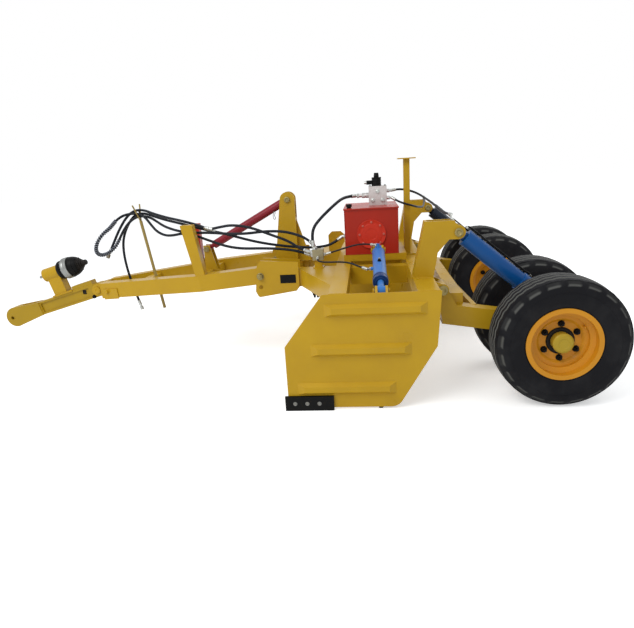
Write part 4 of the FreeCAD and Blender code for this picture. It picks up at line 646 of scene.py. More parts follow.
# %% Hose routes
ROUTES = {
    "supply": (0.020, [
        (-1.2601, -0.060, 0.851), (-1.2211, -0.050, 0.924), (-1.1671, -0.028, 1.026),
        (-1.1091, 0.002, 1.112), (-1.0431, 0.010, 1.157), (-0.9611, 0.002, 1.158),
        (-0.8521, -0.080, 1.130), (-0.7171, -0.170, 1.103), (-0.5621, -0.270, 1.081),
        (-0.4471, -0.290, 1.049), (-0.3471, -0.310, 1.012), (-0.2721, -0.325, 1.026),
        (-0.1671, -0.330, 1.040), (-0.0271, -0.332, 1.014), (0.1129, -0.334, 0.955),
        (0.2429, -0.338, 0.904), (0.3179, -0.343, 0.848), (0.3689, -0.346, 0.828)]),
    "return": (0.020, [
        (-1.1081, 0.000, 0.399), (-1.1311, 0.000, 0.488), (-1.1591, 0.000, 0.610),
        (-1.1771, 0.002, 0.730), (-1.1831, 0.006, 0.842), (-1.1691, 0.010, 0.940),
        (-1.1221, 0.012, 1.035), (-1.0531, 0.014, 1.119), (-0.9691, 0.013, 1.134),
        (-0.8521, -0.060, 1.105), (-0.7171, -0.150, 1.078), (-0.5771, -0.245, 1.058),
        (-0.4471, -0.268, 1.022), (-0.3421, -0.276, 0.996), (-0.2221, -0.278, 0.966),
        (-0.0971, -0.280, 0.925), (0.0329, -0.268, 0.888), (0.1629, -0.258, 0.862),
        (0.2929, -0.250, 0.843), (0.4229, -0.240, 0.832), (0.5229, -0.232, 0.842),
        (0.5749, -0.226, 0.866), (0.6109, -0.222, 0.890)]),
    "loop": (0.020, [
        (0.3689, -0.313, 0.801), (0.3079, -0.313, 0.822), (0.1979, -0.310, 0.843),
        (0.0429, -0.306, 0.854), (-0.1171, -0.308, 0.858), (-0.2321, -0.306, 0.880),
        (-0.3221, -0.302, 0.914), (-0.4171, -0.294, 0.950), (-0.4971, -0.264, 0.975),
        (-0.5821, -0.244, 0.985), (-0.6671, -0.204, 0.968), (-0.7571, -0.140, 0.962),
        (-0.8351, -0.100, 0.992), (-0.8851, -0.072, 1.042), (-0.9291, -0.046, 1.092),
        (-0.9811, -0.016, 1.127), (-1.0571, -0.014, 1.136), (-1.1251, -0.046, 1.124),
        (-1.1571, -0.115, 1.088), (-1.1671, -0.195, 1.045), (-1.2021, -0.264, 1.008),
        (-1.2481, -0.286, 0.949), (-1.2811, -0.260, 0.883), (-1.2881, -0.197, 0.838),
        (-1.2651, -0.122, 0.832), (-1.2221, -0.068, 0.867), (-1.1771, -0.055, 0.932),
        (-1.1371, -0.044, 1.002), (-1.0891, -0.028, 1.064), (-1.0351, -0.004, 1.103),
        (-0.9721, 0.001, 1.111), (-0.9071, -0.010, 1.095), (-0.8431, -0.048, 1.064),
        (-0.7621, -0.130, 1.035), (-0.6721, -0.215, 1.018), (-0.5771, -0.276, 1.002),
        (-0.4671, -0.292, 0.990), (-0.3371, -0.300, 0.986), (-0.2071, -0.308, 0.972),
        (-0.0671, -0.311, 0.968), (0.0729, -0.310, 0.980), (0.2129, -0.311, 0.972),
        (0.3129, -0.311, 0.940), (0.3679, -0.311, 0.914), (0.4069, -0.312, 0.880)]),
    "valve": (0.022, [
        (0.4209, -0.345, 0.880), (0.4169, -0.340, 0.935), (0.4319, -0.322, 0.996),
        (0.4799, -0.296, 1.050), (0.5409, -0.256, 1.104), (0.5929, -0.190, 1.145),
        (0.6319, -0.116, 1.170), (0.6729, -0.052, 1.180), (0.7179, -0.012, 1.181)]),
    "tilt_a": (0.012, [
        (0.5309, -0.334, 0.801), (0.5729, -0.340, 0.812), (0.6529, -0.355, 0.838),
        (0.7379, -0.385, 0.862), (0.8029, -0.430, 0.872), (0.8529, -0.480, 0.872)]),
    "tilt_b": (0.012, [
        (0.4529, -0.400, 0.773), (0.4559, -0.440, 0.770), (0.4829, -0.495, 0.768),
        (0.5429, -0.555, 0.774), (0.6229, -0.620, 0.786), (0.6979, -0.695, 0.790),
        (0.7479, -0.765, 0.780), (0.7949, -0.798, 0.769)]),
    "lift_left": (0.016, [
        (1.0229, 0.028, 1.208), (1.0629, 0.042, 1.212), (1.1209, 0.056, 1.204),
        (1.1769, 0.036, 1.187), (1.2149, -0.020, 1.169), (1.2389, -0.098, 1.153),
        (1.2599, -0.200, 1.138), (1.2829, -0.340, 1.120), (1.3009, -0.480, 1.100),
        (1.3139, -0.610, 1.088), (1.3259, -0.715, 1.085), (1.3329, -0.800, 1.088)]),
    "lift_right": (0.016, [
        (1.0209, -0.030, 1.148), (1.0529, -0.046, 1.128), (1.1049, -0.061, 1.107),
        (1.1569, -0.046, 1.091), (1.1949, 0.008, 1.076), (1.2169, 0.082, 1.066),
        (1.2449, 0.185, 1.056), (1.2729, 0.325, 1.044), (1.2969, 0.480, 1.042),
        (1.3159, 0.620, 1.055), (1.3279, 0.725, 1.076), (1.3329, 0.800, 1.086)]),
}
print(len(ROUTES), "routes,", sum(len(route) for _, route in ROUTES.values()), "points")

# %% [markdown]
# Each hose starts and ends in a metal fitting, and all of them ride on the
# frame, because the lift hoses end on the fixed goosenecks and not on the
# moving cylinders. Ten steps between points and a fine bevel keep even the
# thick hoses round in a close view. Blender pads a curve's box by the radius
# of its points, so each point carries the hose's own radius in metres and the
# bevel is one.

# %% Hoses
def hose_length(curve_piece):
    """Length of the curve's own line, and the points along it."""
    bevel = curve_piece.data.bevel_depth
    curve_piece.data.bevel_depth = 0
    bpy.context.view_layer.update()
    line = bpy.data.meshes.new_from_object(curve_piece)
    points = [v.co.copy() for v in line.vertices]
    bpy.data.meshes.remove(line)
    curve_piece.data.bevel_depth = bevel
    return sum((b - a).length for a, b in zip(points, points[1:])), points


hoses, hose_lines = {}, {}
for name, (diameter, route) in ROUTES.items():
    data = curve_data("rubber_hose_" + name, 1.0, 4)
    line = curve_line(data, "NURBS", route, diameter / 2)
    line.order_u = 3
    line.use_endpoint_u = True
    data.resolution_u = 10
    piece = bpy.data.objects.new("rubber_hose_" + name, data)
    bpy.context.scene.collection.objects.link(piece)
    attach(piece, "frame")
    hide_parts("hose_" + name)
    dress(piece, HOSE)
    hoses[name], hose_lines[name] = piece, hose_length(piece)
    print("hose %-10s %.3f m, %d mm thick"
          % (name, hose_lines[name][0], round(diameter * 1000)))

# %% [markdown]
# A hose ends in a ferrule, a sleeve that a press has squeezed onto the rubber
# in rings, and in a hexagon nut that screws onto its port. The two hoses that
# the tractor feeds end in quick couplings instead. Where those two pass the
# post, each has a joiner. The ferrules look along the hose's own last points,
# so they stand square on it.

# %% Ferrules
def way_out(name, last):
    """End point of a hose and the direction in which it leaves it."""
    route = ROUTES[name][1]
    tip, inner = (route[-1], route[-2]) if last else (route[0], route[1])
    return Vector(tip), (Vector(tip) - Vector(inner)).normalized()


def ferrule_outline(r, ahead):
    """Pressed sleeve: from on the hose to its metal tail, with rings."""
    rings = [(-0.020, r - 0.001), (-0.020, r + 0.0022), (-0.018, r + 0.0034)]
    for k in range(4):
        h = -0.014 + k * 0.0075
        rings += [(h, r + 0.0034), (h + 0.0015, r + 0.0022), (h + 0.0035, r + 0.0022),
                  (h + 0.005, r + 0.0034)]
    return rings + [(ahead - 0.002, r + 0.0038), (ahead, r + 0.0028), (ahead, r - 0.002)]


LONG_TAIL, SHORT_TAIL = 0.0245, 0.0215      # sleeve ahead of a thick or a thin hose
cord_pieces = {name: [] for name in ROUTES}
for name, (diameter, route) in ROUTES.items():
    r = diameter / 2
    model = lathe(ferrule_outline(r, LONG_TAIL if r > 0.008 else SHORT_TAIL), steps=24)
    piece = set_out(model, [way_out(name, False), way_out(name, True)],
                    "pressed_ferrules_" + name, "frame", ZINC)
    scrap(model)
    cord_pieces[name].append(piece)
print("ferrules on", len(ROUTES), "hoses")

# %% Couplings for the tractor, and joiners by the post
COUPLING = [(0.0235, 0.0085), (0.0345, 0.0085), (0.0350, 0.0120), (0.0365, 0.0147),
            (0.0430, 0.0152), (0.0445, 0.0140), (0.0470, 0.0140), (0.0485, 0.0152),
            (0.0520, 0.0152), (0.0535, 0.0140), (0.0560, 0.0140), (0.0575, 0.0152),
            (0.0630, 0.0148), (0.0645, 0.0130), (0.0645, 0.0092), (0.0600, 0.0085),
            (0.0600, 0.0)]
JOINER = [(-0.034, 0.0095), (-0.034, 0.0125), (-0.032, 0.0138), (-0.012, 0.0138),
          (-0.010, 0.0118), (-0.006, 0.0118), (-0.004, 0.0150), (0.004, 0.0150),
          (0.006, 0.0118), (0.010, 0.0118), (0.012, 0.0138), (0.032, 0.0138),
          (0.034, 0.0125), (0.034, 0.0095)]


def near_x(name, x):
    """Place and direction on a hose's line where it passes an X."""
    points = hose_lines[name][1]
    k = min(range(1, len(points) - 1), key=lambda k: abs(points[k].x - x))
    return points[k], points[k + 1] - points[k - 1]


for name, x in (("supply", -0.352), ("return", -0.346)):
    end = turned("tractor_coupling_" + name, COUPLING, *way_out(name, False), "frame",
                 BRASS if name == "supply" else ZINC, steps=28)
    middle = turned("hose_joiner_" + name, JOINER, *near_x(name, x), "frame", ZINC, steps=28)
    cord_pieces[name] += [end, middle]
print("couplings and joiners on the two tractor hoses")

# %% [markdown]
# The spare loop rubs on the fork and on itself, so its bend is wrapped in a
# plastic spiral. The spiral is a helix round the hose's own line: a frame is
# carried along the line from point to point, so that the turns stay even, and
# a round bevel gives the strip its thickness. A strap ties the hoses together
# where they lie in the fork.

# %% Spiral wrap
WRAP_PITCH = 0.0190
WRAP_STEPS = 12             # points in one turn
WRAP_FROM, WRAP_TO = 178, 262   # places on the loop's line, at its hanging bend
WRAP_RADIUS = 0.0128        # from the hose's line to the middle of the strip
STRIP_RADIUS = 0.0040


def along_line(points, start, end, spacing):
    """Evenly spaced places on a part of a line, with their directions."""
    places = []
    left = 0.0
    for a, b in zip(points[start:end], points[start + 1:end + 1]):
        step = (b - a).length
        while left < step:
            places.append((a.lerp(b, left / step), (b - a).normalized()))
            left += spacing
        left -= step
    return places


points = hose_lines["loop"][1]
helix, side = [], Vector((0, 0, 1))
for k, (place, way) in enumerate(along_line(points, WRAP_FROM, WRAP_TO,
                                             WRAP_PITCH / WRAP_STEPS)):
    side = (side - way * side.dot(way)).normalized()
    turn = 2 * pi * k / WRAP_STEPS
    helix.append(place + WRAP_RADIUS * (side * cos(turn) + way.cross(side) * sin(turn)))
data = curve_data("spiral_wrap", STRIP_RADIUS, 1, caps=False)
curve_line(data, "POLY", helix)
wrap = mesh_from("spiral_wrap", data, "frame", SPIRAL_WRAP_AND_PAINTED_SHEEN)
cord_pieces["loop"].append(wrap)
print("spiral wrap of", len(helix) // WRAP_STEPS, "turns")

# %% Strap
settle()
bpy.ops.mesh.primitive_circle_add(vertices=56, radius=1, fill_type="NOTHING")
strap = bpy.context.object
strap.name = strap.data.name = "hose_strap"
open_piece(strap)
bpy.ops.mesh.select_all(action="SELECT")
bpy.ops.transform.resize(value=(0.041, 0.027, 1))
bpy.ops.mesh.extrude_region_move(TRANSFORM_OT_translate={"value": (0, 0, 0.013)})
close_piece(strap, 40)
bpy.context.view_layer.objects.active = strap
thick = strap.modifiers.new("thickness", "SOLIDIFY")
thick.thickness = 0.0024
bpy.ops.object.modifier_apply(modifier="thickness")
strap.data.transform(standing((-1.020, 0.000, 1.130), (1, 0, 0.05)))
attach(strap, "frame")
dress(strap, DARK_RUBBER_AND_PAINTED_SHADE)
print("strap round the hoses in the fork")

# %% [markdown]
# Six of the hoses go back into the machine at both ends. The two tractor
# hoses end in their couplings.

print(len(hoses), "hoses declared")

# %% [markdown]
# ## Tyres
#
# Implement tyres carry the load on straight ribs: four grooves run round the
# tread with zigzag edges, and shallow pockets break up the shoulders. The CAD
# tyre is the right size but bare, so a detailed one replaces it. Its outline,
# from bead to bead, is spun round the axle in small steps. Then the points of
# the tread are moved sideways by turns, which makes the grooves zigzag, and
# points at the shoulders are moved in, which makes the pockets. The grooves
# could be cut one by one, but moving rows of points keeps them even.

# %% Tyre outline
TYRE_STEPS = 160
HALF_TREAD = [(0.1060, 0.1960), (0.1078, 0.2140), (0.1105, 0.2195), (0.1135, 0.2200),
              (0.1170, 0.2330), (0.1235, 0.2520), (0.1290, 0.2740), (0.1318, 0.2960),
              (0.1318, 0.3010), (0.1330, 0.3018), (0.1328, 0.3042), (0.1314, 0.3050),
              (0.1308, 0.3260), (0.1290, 0.3380), (0.1268, 0.3450),
              (0.1262, 0.3462), (0.1220, 0.3540), (0.1160, 0.3610), (0.1090, 0.3672),
              (0.1040, 0.3700), (0.1000, 0.3718),
              (0.0735, 0.3757), (0.0700, 0.3762), (0.0685, 0.3650), (0.0600, 0.3656),
              (0.0585, 0.3772), (0.0550, 0.3775),
              (0.0315, 0.3789), (0.0280, 0.3792), (0.0265, 0.3680), (0.0180, 0.3684),
              (0.0165, 0.3797), (0.0130, 0.3798)]
GROOVE_EDGES = [0.3762, 0.3772, 0.3792, 0.3797]     # radii that are rubbed pale
ZIGZAG = (0, 0.0058, 0, -0.0058)    # sideways, metres, on four steps in turn
TREAD_FROM, TREAD_HALF = 0.3640, 0.09   # lowest radius and half width of the zigzag
POCKET_STEPS, POCKET_EVERY = 5, 8
POCKET_LOW, POCKET_HIGH = 0.3440, 0.3690    # radii of a shoulder pocket
POCKET_RIM = 0.3470         # below this radius a pocket's points are its rubbed rim
SUNK_FROM = 0.3455          # from this radius on they are moved in
SHOULDER_FROM = 0.104       # sideways from the middle of the tread
POCKET_DEPTH = 0.0095
EDGE_SCUFF, RIM_SCUFF, POCKET_SCUFF = 0.75, 0.34, 0.06
outline = HALF_TREAD + [(-across, radius) for across, radius in reversed(HALF_TREAD)]
RING = len(outline)
print("tyre outline of", RING, "points")

# %% Tyres
def wheel_middle(label):
    """Middle of a wheel's CAD tyre."""
    low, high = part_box("tyre_" + label)
    return (low + high) / 2


def tyre(label):
    """One tyre round the middle of its wheel."""
    mesh = bpy.data.meshes.new("ribbed_tyre_" + label)
    mesh.from_pydata([(0, across, radius) for across, radius in outline],
                     [(k, k + 1) for k in range(RING - 1)], [])
    piece = bpy.data.objects.new("ribbed_tyre_" + label, mesh)
    bpy.context.scene.collection.objects.link(piece)
    open_piece(piece)
    bpy.ops.mesh.select_all(action="SELECT")
    bpy.ops.mesh.spin(steps=TYRE_STEPS, angle=2 * pi, center=(0, 0, 0), axis=(0, 1, 0))
    bpy.ops.mesh.select_all(action="SELECT")
    bpy.ops.mesh.remove_doubles(threshold=0.00002)
    close_piece(piece, 40)
    scuff = piece.data.attributes.new("scuff", "FLOAT", "POINT")
    for point in piece.data.vertices:
        x, y, z = point.co
        step = round(math.atan2(x, z) / (2 * pi) * TYRE_STEPS) % TYRE_STEPS
        radius = math.hypot(x, z)
        if min(abs(radius - edge) for edge in GROOVE_EDGES) < 0.00005:
            scuff.data[point.index].value = EDGE_SCUFF
        if radius > TREAD_FROM and abs(y) < TREAD_HALF:
            point.co.y += ZIGZAG[step % 4]
        if (abs(y) > SHOULDER_FROM and step % POCKET_EVERY < POCKET_STEPS
                and POCKET_LOW < radius < POCKET_HIGH):
            scuff.data[point.index].value = RIM_SCUFF if radius < POCKET_RIM else POCKET_SCUFF
            if radius > SUNK_FROM:
                point.co.y -= math.copysign(POCKET_DEPTH, y)
    piece.data.transform(Matrix.Translation(wheel_middle(label)))
    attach(piece, "wheel_" + label)
    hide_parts("tyre_" + label)
    dress(piece, TYRE)


# Each wheel, and the side to which its disc looks.
WHEELS = {"left_outer": -1, "left_inner": 1, "right_inner": -1, "right_outer": 1}
for label in WHEELS:
    tyre(label)

# %% [markdown]
# ## Wheel fastenings
#
# Six black nuts on studs hold each orange rim to its hub, a dark ring fills
# the gap round the yellow cap as painted shade for the disc's bore, and a valve
# stem, sprayed with the rim, pokes through the dish. The nuts stand on the
# disc, on the stud circle that the rim's holes have.

# %% Nuts, painted shade rings and valve stems
STUD_CIRCLE = 0.1025        # radius
DISC_FACE = 0.032           # sideways from the wheel's middle
nut = bolt_head(0.026, stud=0.012)
for label, out in WHEELS.items():
    hub = wheel_middle(label)
    spots = []
    for k in range(6):
        turn = pi / 6 + k * pi / 3
        spots.append((hub + Vector((STUD_CIRCLE * cos(turn), out * DISC_FACE,
                                    STUD_CIRCLE * sin(turn))), (0, out, 0)))
    body = "wheel_" + label
    set_out(nut, spots, "wheel_nuts_" + label, body, BLACK)
    # The dark ring is painted shade for the disc's bore round the cap.
    turned("painted_shade_ring_" + label,
           [(0.0325, 0.0800), (0.0360, 0.0802), (0.0400, 0.0775), (0.0425, 0.0735),
            (0.0430, 0.0640), (0.0418, 0.0600), (0.0422, 0.0573)],
           hub, (0, out, 0), body, DARK_RUBBER_AND_PAINTED_SHADE)
    turned("cap_bead_" + label,
           [(0.0860, 0.0572), (0.0868, 0.0590), (0.0900, 0.0585), (0.0935, 0.0545),
            (0.0972, 0.0500), (0.0990, 0.0420), (0.0990, 0.0300), (0.0972, 0.0280),
            (0.0972, 0.0)],
           hub, (0, out, 0), body, CAP_YELLOW)
    turned("valve_stem_" + label,
           [(0.0, 0.0075), (0.006, 0.0070), (0.010, 0.0045), (0.026, 0.0040),
            (0.027, 0.0052), (0.036, 0.0052), (0.038, 0.0036), (0.038, 0.0)],
           hub + Vector((0.118, out * 0.040, 0.086)), (0, out, 0), body, RIM_ORANGE, steps=16)
scrap(nut)
print("wheel fastenings on", len(WHEELS), "wheels")

# %% [markdown]
# ## Places on the machine
#
# The drawing counts in millimetres. One helper turns a place on the drawing
# into a place in the frame, and two more do the same for places along the
# drooping tongue and along the slanted lift cylinders, where t runs along the
# piece and n stands up from it. Two short ones list the corners of welds.

# %% Place helpers
DATUM_X = -0.0171465        # the drawing's zero in the frame
TONGUE_DROP = radians(15.2)
PIVOT_X, PIVOT_Z = -1405.9, 530.5               # hitch pivot on the drawing
HITCH_HOLE = 835            # ahead of the pivot
LIFT_X, LIFT_Y, LIFT_Z = 1386, 858, 990         # top pin of a lift cylinder
LIFT_RUN = Vector((504, 0, -430)).normalized()  # down a lift cylinder
LIFT_UP = Vector((430, 0, 504)).normalized()    # square to it


def at(x, y, z):
    """Frame place, in metres, of drawing millimetres."""
    return Vector((x / 1000 + DATUM_X, y / 1000, z / 1000))


def seam(points):
    """A run of drawing places in frame metres."""
    return [at(*point) for point in points]


def foot(x0, x1, y0, y1, z):
    """A level loop round a foot, in drawing millimetres."""
    return seam([(x0, y0, z), (x1, y0, z), (x1, y1, z), (x0, y1, z), (x0, y0, z)])


def on_tongue(t, y, n):
    """Place t ahead of the hitch pivot and n over the tongue's line."""
    return at(PIVOT_X - t * cos(TONGUE_DROP) - n * sin(TONGUE_DROP), y,
              PIVOT_Z - t * sin(TONGUE_DROP) + n * cos(TONGUE_DROP))


def on_lift(side, t, n):
    """Place t down a lift cylinder from its top pin and n over its axis."""
    return at(LIFT_X, side * LIFT_Y, LIFT_Z) + (t * LIFT_RUN + n * LIFT_UP) / 1000


print("hitch hole at", tuple(round(v, 3) for v in on_tongue(HITCH_HOLE, 0, 0)))

# %% [markdown]
# ## Oil tank
#
# The red tank is a welded box with a lid. The round cover on its near face is
# for cleaning: eight bolts press it on a gasket. The cover is lathe work with
# two shallow steps, in a slightly brighter red than the tank. The bolts are
# copies of one red-painted head, in a pale red that is painted glint, and the
# box's corners and foot get weld beads in the tank's own red.

# %% Cover, gasket and bolts
tank_low, tank_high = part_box("oil_tank")
cover = Vector(((tank_low.x + tank_high.x) / 2, tank_low.y, 0.916))
near, far, left_way, right_way = (0, -1, 0), (0, 1, 0), (-1, 0, 0), (1, 0, 0)
turned("tank_cover", [(-0.0095, 0.1035), (-0.0085, 0.1050), (0.0000, 0.1050), (0.0014, 0.1036),
                      (0.0014, 0.1000), (0.0006, 0.0985), (0.0006, 0.0775), (0.0026, 0.0750),
                      (0.0030, 0.0420), (0.0016, 0.0400), (0.0016, 0.0)],
       cover, near, "frame", COVER_RED, steps=72)
turned("tank_cover_gasket", [(-0.0099, 0.1040), (-0.0099, 0.1078), (-0.0072, 0.1078),
                             (-0.0072, 0.1040)], cover, near, "frame", RED, steps=72)
bolt = bolt_head(0.0115)
# The bolts' pale red is painted glint on their red paint.
set_out(bolt, [(cover + Vector((0.088 * sin(k * pi / 4), -0.0004, 0.088 * cos(k * pi / 4))),
                near) for k in range(8)], "tank_cover_bolts", "frame", BOLT_RED_PAINTED_GLINT)
scrap(bolt)
print("tank cover at", tuple(round(v, 3) for v in cover))

# %% Filler cap and welds
turned("oil_filler_cap", [(-0.001, 0.0175), (0.006, 0.0175), (0.006, 0.0150), (0.010, 0.0150),
                          (0.010, 0.0205), (0.012, 0.0220), (0.026, 0.0220), (0.029, 0.0205),
                          (0.030, 0.0150), (0.0285, 0.0130), (0.0285, 0.0)],
       at(705, -205, 1106), (0, 0, 1), "frame", BLACK, steps=18)
weld("tank_welds", [[at(x, y, 772), at(x, y, 1095)] for x in (672, 1058) for y in (-260, 260)]
     + [foot(672, 1058, -260, 260, 771)], 0.0035, finish=RED)
print("filler cap and welds on the tank")

# %% [markdown]
# ## Valve and solenoid
#
# The laser's control box works the valve on the tank lid: an aluminium block
# with screwed ports, and over it a black coil with a plug on its side. Hexagon
# plugs close the ports that are not used, and socket screws hold the block.
# Where a hose screws onto a port, here or on the manifold, it has a nut.

# %% Valve fittings
screw = pin_head(0.0065, 0.0055)
set_out(screw, [(at(x, y, 1247), (0, 0, 1)) for x in (864, 978) for y in (-34, 34)],
        "valve_socket_screws", "frame", STEEL)
scrap(screw)
plug = bolt_head(0.022)
set_out(plug, [(at(884, -45, 1142), near), (at(958, -45, 1142), near),
               (at(884, 45, 1142), far), (at(921, -45, 1206), near)],
        "valve_plugs", "frame", ZINC)
scrap(plug)
turned("valve_coil", [(-0.001, 0.0345), (0.002, 0.0365), (0.007, 0.0365), (0.009, 0.0350),
                      (0.018, 0.0350), (0.020, 0.0358), (0.024, 0.0358), (0.026, 0.0350),
                      (0.036, 0.0350), (0.038, 0.0358), (0.042, 0.0358), (0.044, 0.0350),
                      (0.055, 0.0350), (0.058, 0.0365), (0.061, 0.0365), (0.0635, 0.0345),
                      (0.0635, 0.0180), (0.068, 0.0195), (0.080, 0.0195), (0.083, 0.0175),
                      (0.0945, 0.0172), (0.0960, 0.0150), (0.0960, 0.0)],
       at(914, 0, 1247), (0, 0, 1), "frame", BLACK, steps=36)
turned("valve_plug_cap", [(-0.001, 0.0135), (0.005, 0.0135), (0.006, 0.0112), (0.017, 0.0106),
                          (0.019, 0.0092), (0.019, 0.0)],
       at(840, 0, 1274), left_way, "frame", ZINC, steps=20)
print("valve dressed")

# %% Nuts on the ports
# Hose radius in millimetres, place of the port, and the way that it faces.
PORTS = [(10, (431, -347, 817), left_way), (10, (672, -222, 905), left_way),
         (10, (431, -313, 790), left_way), (10, (447, -313, 835), (0, 0, 1)),
         (11, (452, -347, 835), (0, 0, 1)), (11, (777, 0, 1180), left_way),
         (6, (510, -330, 795), right_way), (6, (898.3, -502.2, 872), (-0.787, 0.617, 0)),
         (6, (470, -365, 775), near), (6, (850, -800, 765.8), left_way),
         (8, (1003, 22, 1206), right_way), (8, (1003, -24, 1156), right_way),
         (8, (1352, -858, 1058), (0, 0, 1)), (8, (1352, 858, 1058), (0, 0, 1))]


def port_nut(across, height):
    """Six-sided nut with both ends turned to a chamfer."""
    model = cylinder(6, across / 3 ** 0.5, 0, height)
    for way in (1, -1):
        pick(model, lambda middle, normal: normal.z * way > 0.9)
        inset(across * 0.07, way * across * 0.045)
    return close_piece(model, 25)


for r in sorted({r for r, _, _ in PORTS}):
    nut = port_nut((2 * r + 8) / 1000, 0.0125 if r > 8 else 0.0085)
    set_out(nut, [(at(*place), way) for radius, place, way in PORTS if radius == r],
            "port_nuts_%d_mm" % (2 * r), "frame", ZINC)
    scrap(nut)
collar = port_nut(0.034, 0.020)
set_out(collar, [(at(853, 0, 1180), left_way), (at(823, 0, 1180), left_way)],
        "valve_adaptor_nuts", "frame", ZINC)
scrap(collar)
print(len(PORTS), "port nuts")

# %% [markdown]
# ## Lift cylinders
#
# A hydraulic cylinder is a drawn tube with a screwed gland where the rod comes
# out. The gland has a turned collar and a wiper ring. Oil reaches the gland
# end through a thin steel pipe along the barrel, which three bolted clips
# hold. The pipe is a curve that a few places over the barrel's axis pull
# along, and it rides on the barrel. The near cylinder is blue. The far one
# lies in shade, so it, its gland and its bead are painted nearly black:
# painted shade.

# %% Glands, clips and oil pipes
PIPE = [(30, 56), (38, 62), (52, 65), (80, 65), (300, 65), (470, 65), (500, 67), (516, 70),
        (526, 68), (530, 57)]


def bent_wire(name, places, thickness, round_steps, body, finish):
    """Round pipe or wire that a spline of places pulls along."""
    data = curve_data(name, thickness, round_steps)
    line = curve_line(data, "NURBS", places)
    line.order_u = 3
    line.use_endpoint_u = True
    data.resolution_u = 6
    mesh_from(name, data, body, finish)


def pipe_clip():
    """Small block, narrower on top, with a bolt that holds the pipe."""
    settle()
    bpy.ops.mesh.primitive_cube_add(size=1, location=(0, 0, 0))
    clip = bpy.context.object
    open_piece(clip)
    bpy.ops.mesh.select_all(action="SELECT")
    bpy.ops.transform.resize(value=(0.020, 0.014, 0.016))
    pick_top(clip)
    inset(0.002, 0.002)
    bpy.ops.mesh.select_all(action="DESELECT")
    bpy.ops.mesh.primitive_cylinder_add(vertices=6, radius=0.004, depth=0.005,
                                        location=(0.005, 0, 0.010))
    return close_piece(clip, 30)


# The far cylinder's near-black paint is painted shade.
for side, label, paint in ((-1, "left", BLUE), (1, "right", FAR_CYLINDER_PAINTED_SHADE)):
    body = "lift_barrel_" + label
    turned("gland_" + label,
           [(0.496, 0.0530), (0.498, 0.0600), (0.503, 0.0612), (0.512, 0.0612), (0.514, 0.0590),
            (0.544, 0.0590), (0.546, 0.0612), (0.556, 0.0612), (0.5605, 0.0585),
            (0.5605, 0.0400), (0.5640, 0.0370), (0.5640, 0.0262)],
           on_lift(side, 0, 0), LIFT_RUN, body, paint, steps=56)
    turned("barrel_foot_bead_" + label,
           [(0.0585, 0.0300), (0.0585, 0.0505), (0.0610, 0.0540), (0.0660, 0.0545),
            (0.0680, 0.0528)],
           on_lift(side, 0, 0), LIFT_RUN, body, paint, steps=56)
    bent_wire("oil_pipe_" + label, [on_lift(side, t, n) for t, n in PIPE], 0.0062, 3, body,
              BLACK)
    clip = pipe_clip()
    set_out(clip, [(on_lift(side, t, 59), LIFT_UP) for t in (150, 330, 480)],
            "pipe_clips_" + label, body, BLACK)
    scrap(clip)
    fitting = port_nut(0.018, 0.012)
    set_out(fitting, [(on_lift(side, 30, 46), LIFT_UP), (on_lift(side, 530, 57), LIFT_UP)],
            "pipe_nuts_" + label, body, ZINC)
    scrap(fitting)
print("lift cylinders dressed")

# %% [markdown]
# ## Cross cylinder
#
# The light blue cylinder leans from the frame to the near end plate. Its gland
# is darker, a bead runs round the barrel where the end is welded on, and two
# plugs stand on its top.

# %% Cross cylinder's gland, bead and plugs
CROSS_RUN = Vector((0, -750, -120)).normalized()
cross_top = at(907, -430, 825)
turned("cross_gland",
       [(0.5570, 0.0420), (0.5590, 0.0470), (0.5640, 0.0482), (0.5760, 0.0482), (0.5785, 0.0465),
        (0.6060, 0.0465), (0.6085, 0.0482), (0.6180, 0.0478), (0.6215, 0.0450),
        (0.6215, 0.0330), (0.6245, 0.0310), (0.6245, 0.0212)],
       cross_top, CROSS_RUN, "frame", NAVY, steps=56)
turned("cross_barrel_bead",
       [(0.0585, 0.0200), (0.0585, 0.0400), (0.0610, 0.0430), (0.0655, 0.0434),
        (0.0675, 0.0418)],
       cross_top, CROSS_RUN, "frame", LIGHT_BLUE, steps=48)
CROSS_UP = Vector((0, -120, 750)).normalized()
for t, across, finish, name in ((0.350, 0.018, BLACK, "cross_bleed_plug"),
                                (0.318, 0.013, ZINC, "cross_plug")):
    plug = bolt_head(across)
    set_out(plug, [(cross_top + t * CROSS_RUN + 0.0415 * CROSS_UP, CROSS_UP)], name,
            "frame", finish)
    scrap(plug)
print("cross cylinder dressed")

# %% [markdown]
# ## Pins
#
# Every eye turns on a round pin with a stepped head. The heads sit over the
# ends of the CAD pins. Pins that turn with the wheel frame ride on it, and
# the rest on the frame.

# %% Pin heads
def pins(name, radius, spots, body="frame", finish=PIN):
    """One kind of pin head at many places."""
    model = pin_head(radius, 0.0072)
    set_out(model, spots, name, body, finish)
    scrap(model)


def two_faces(x, y, half, z):
    """Left and right pins, each with a head on both of its ends."""
    return [(at(x, s * y + t * (half - 5.5), z), (0, t, 0)) for s in (-1, 1) for t in (-1, 1)]


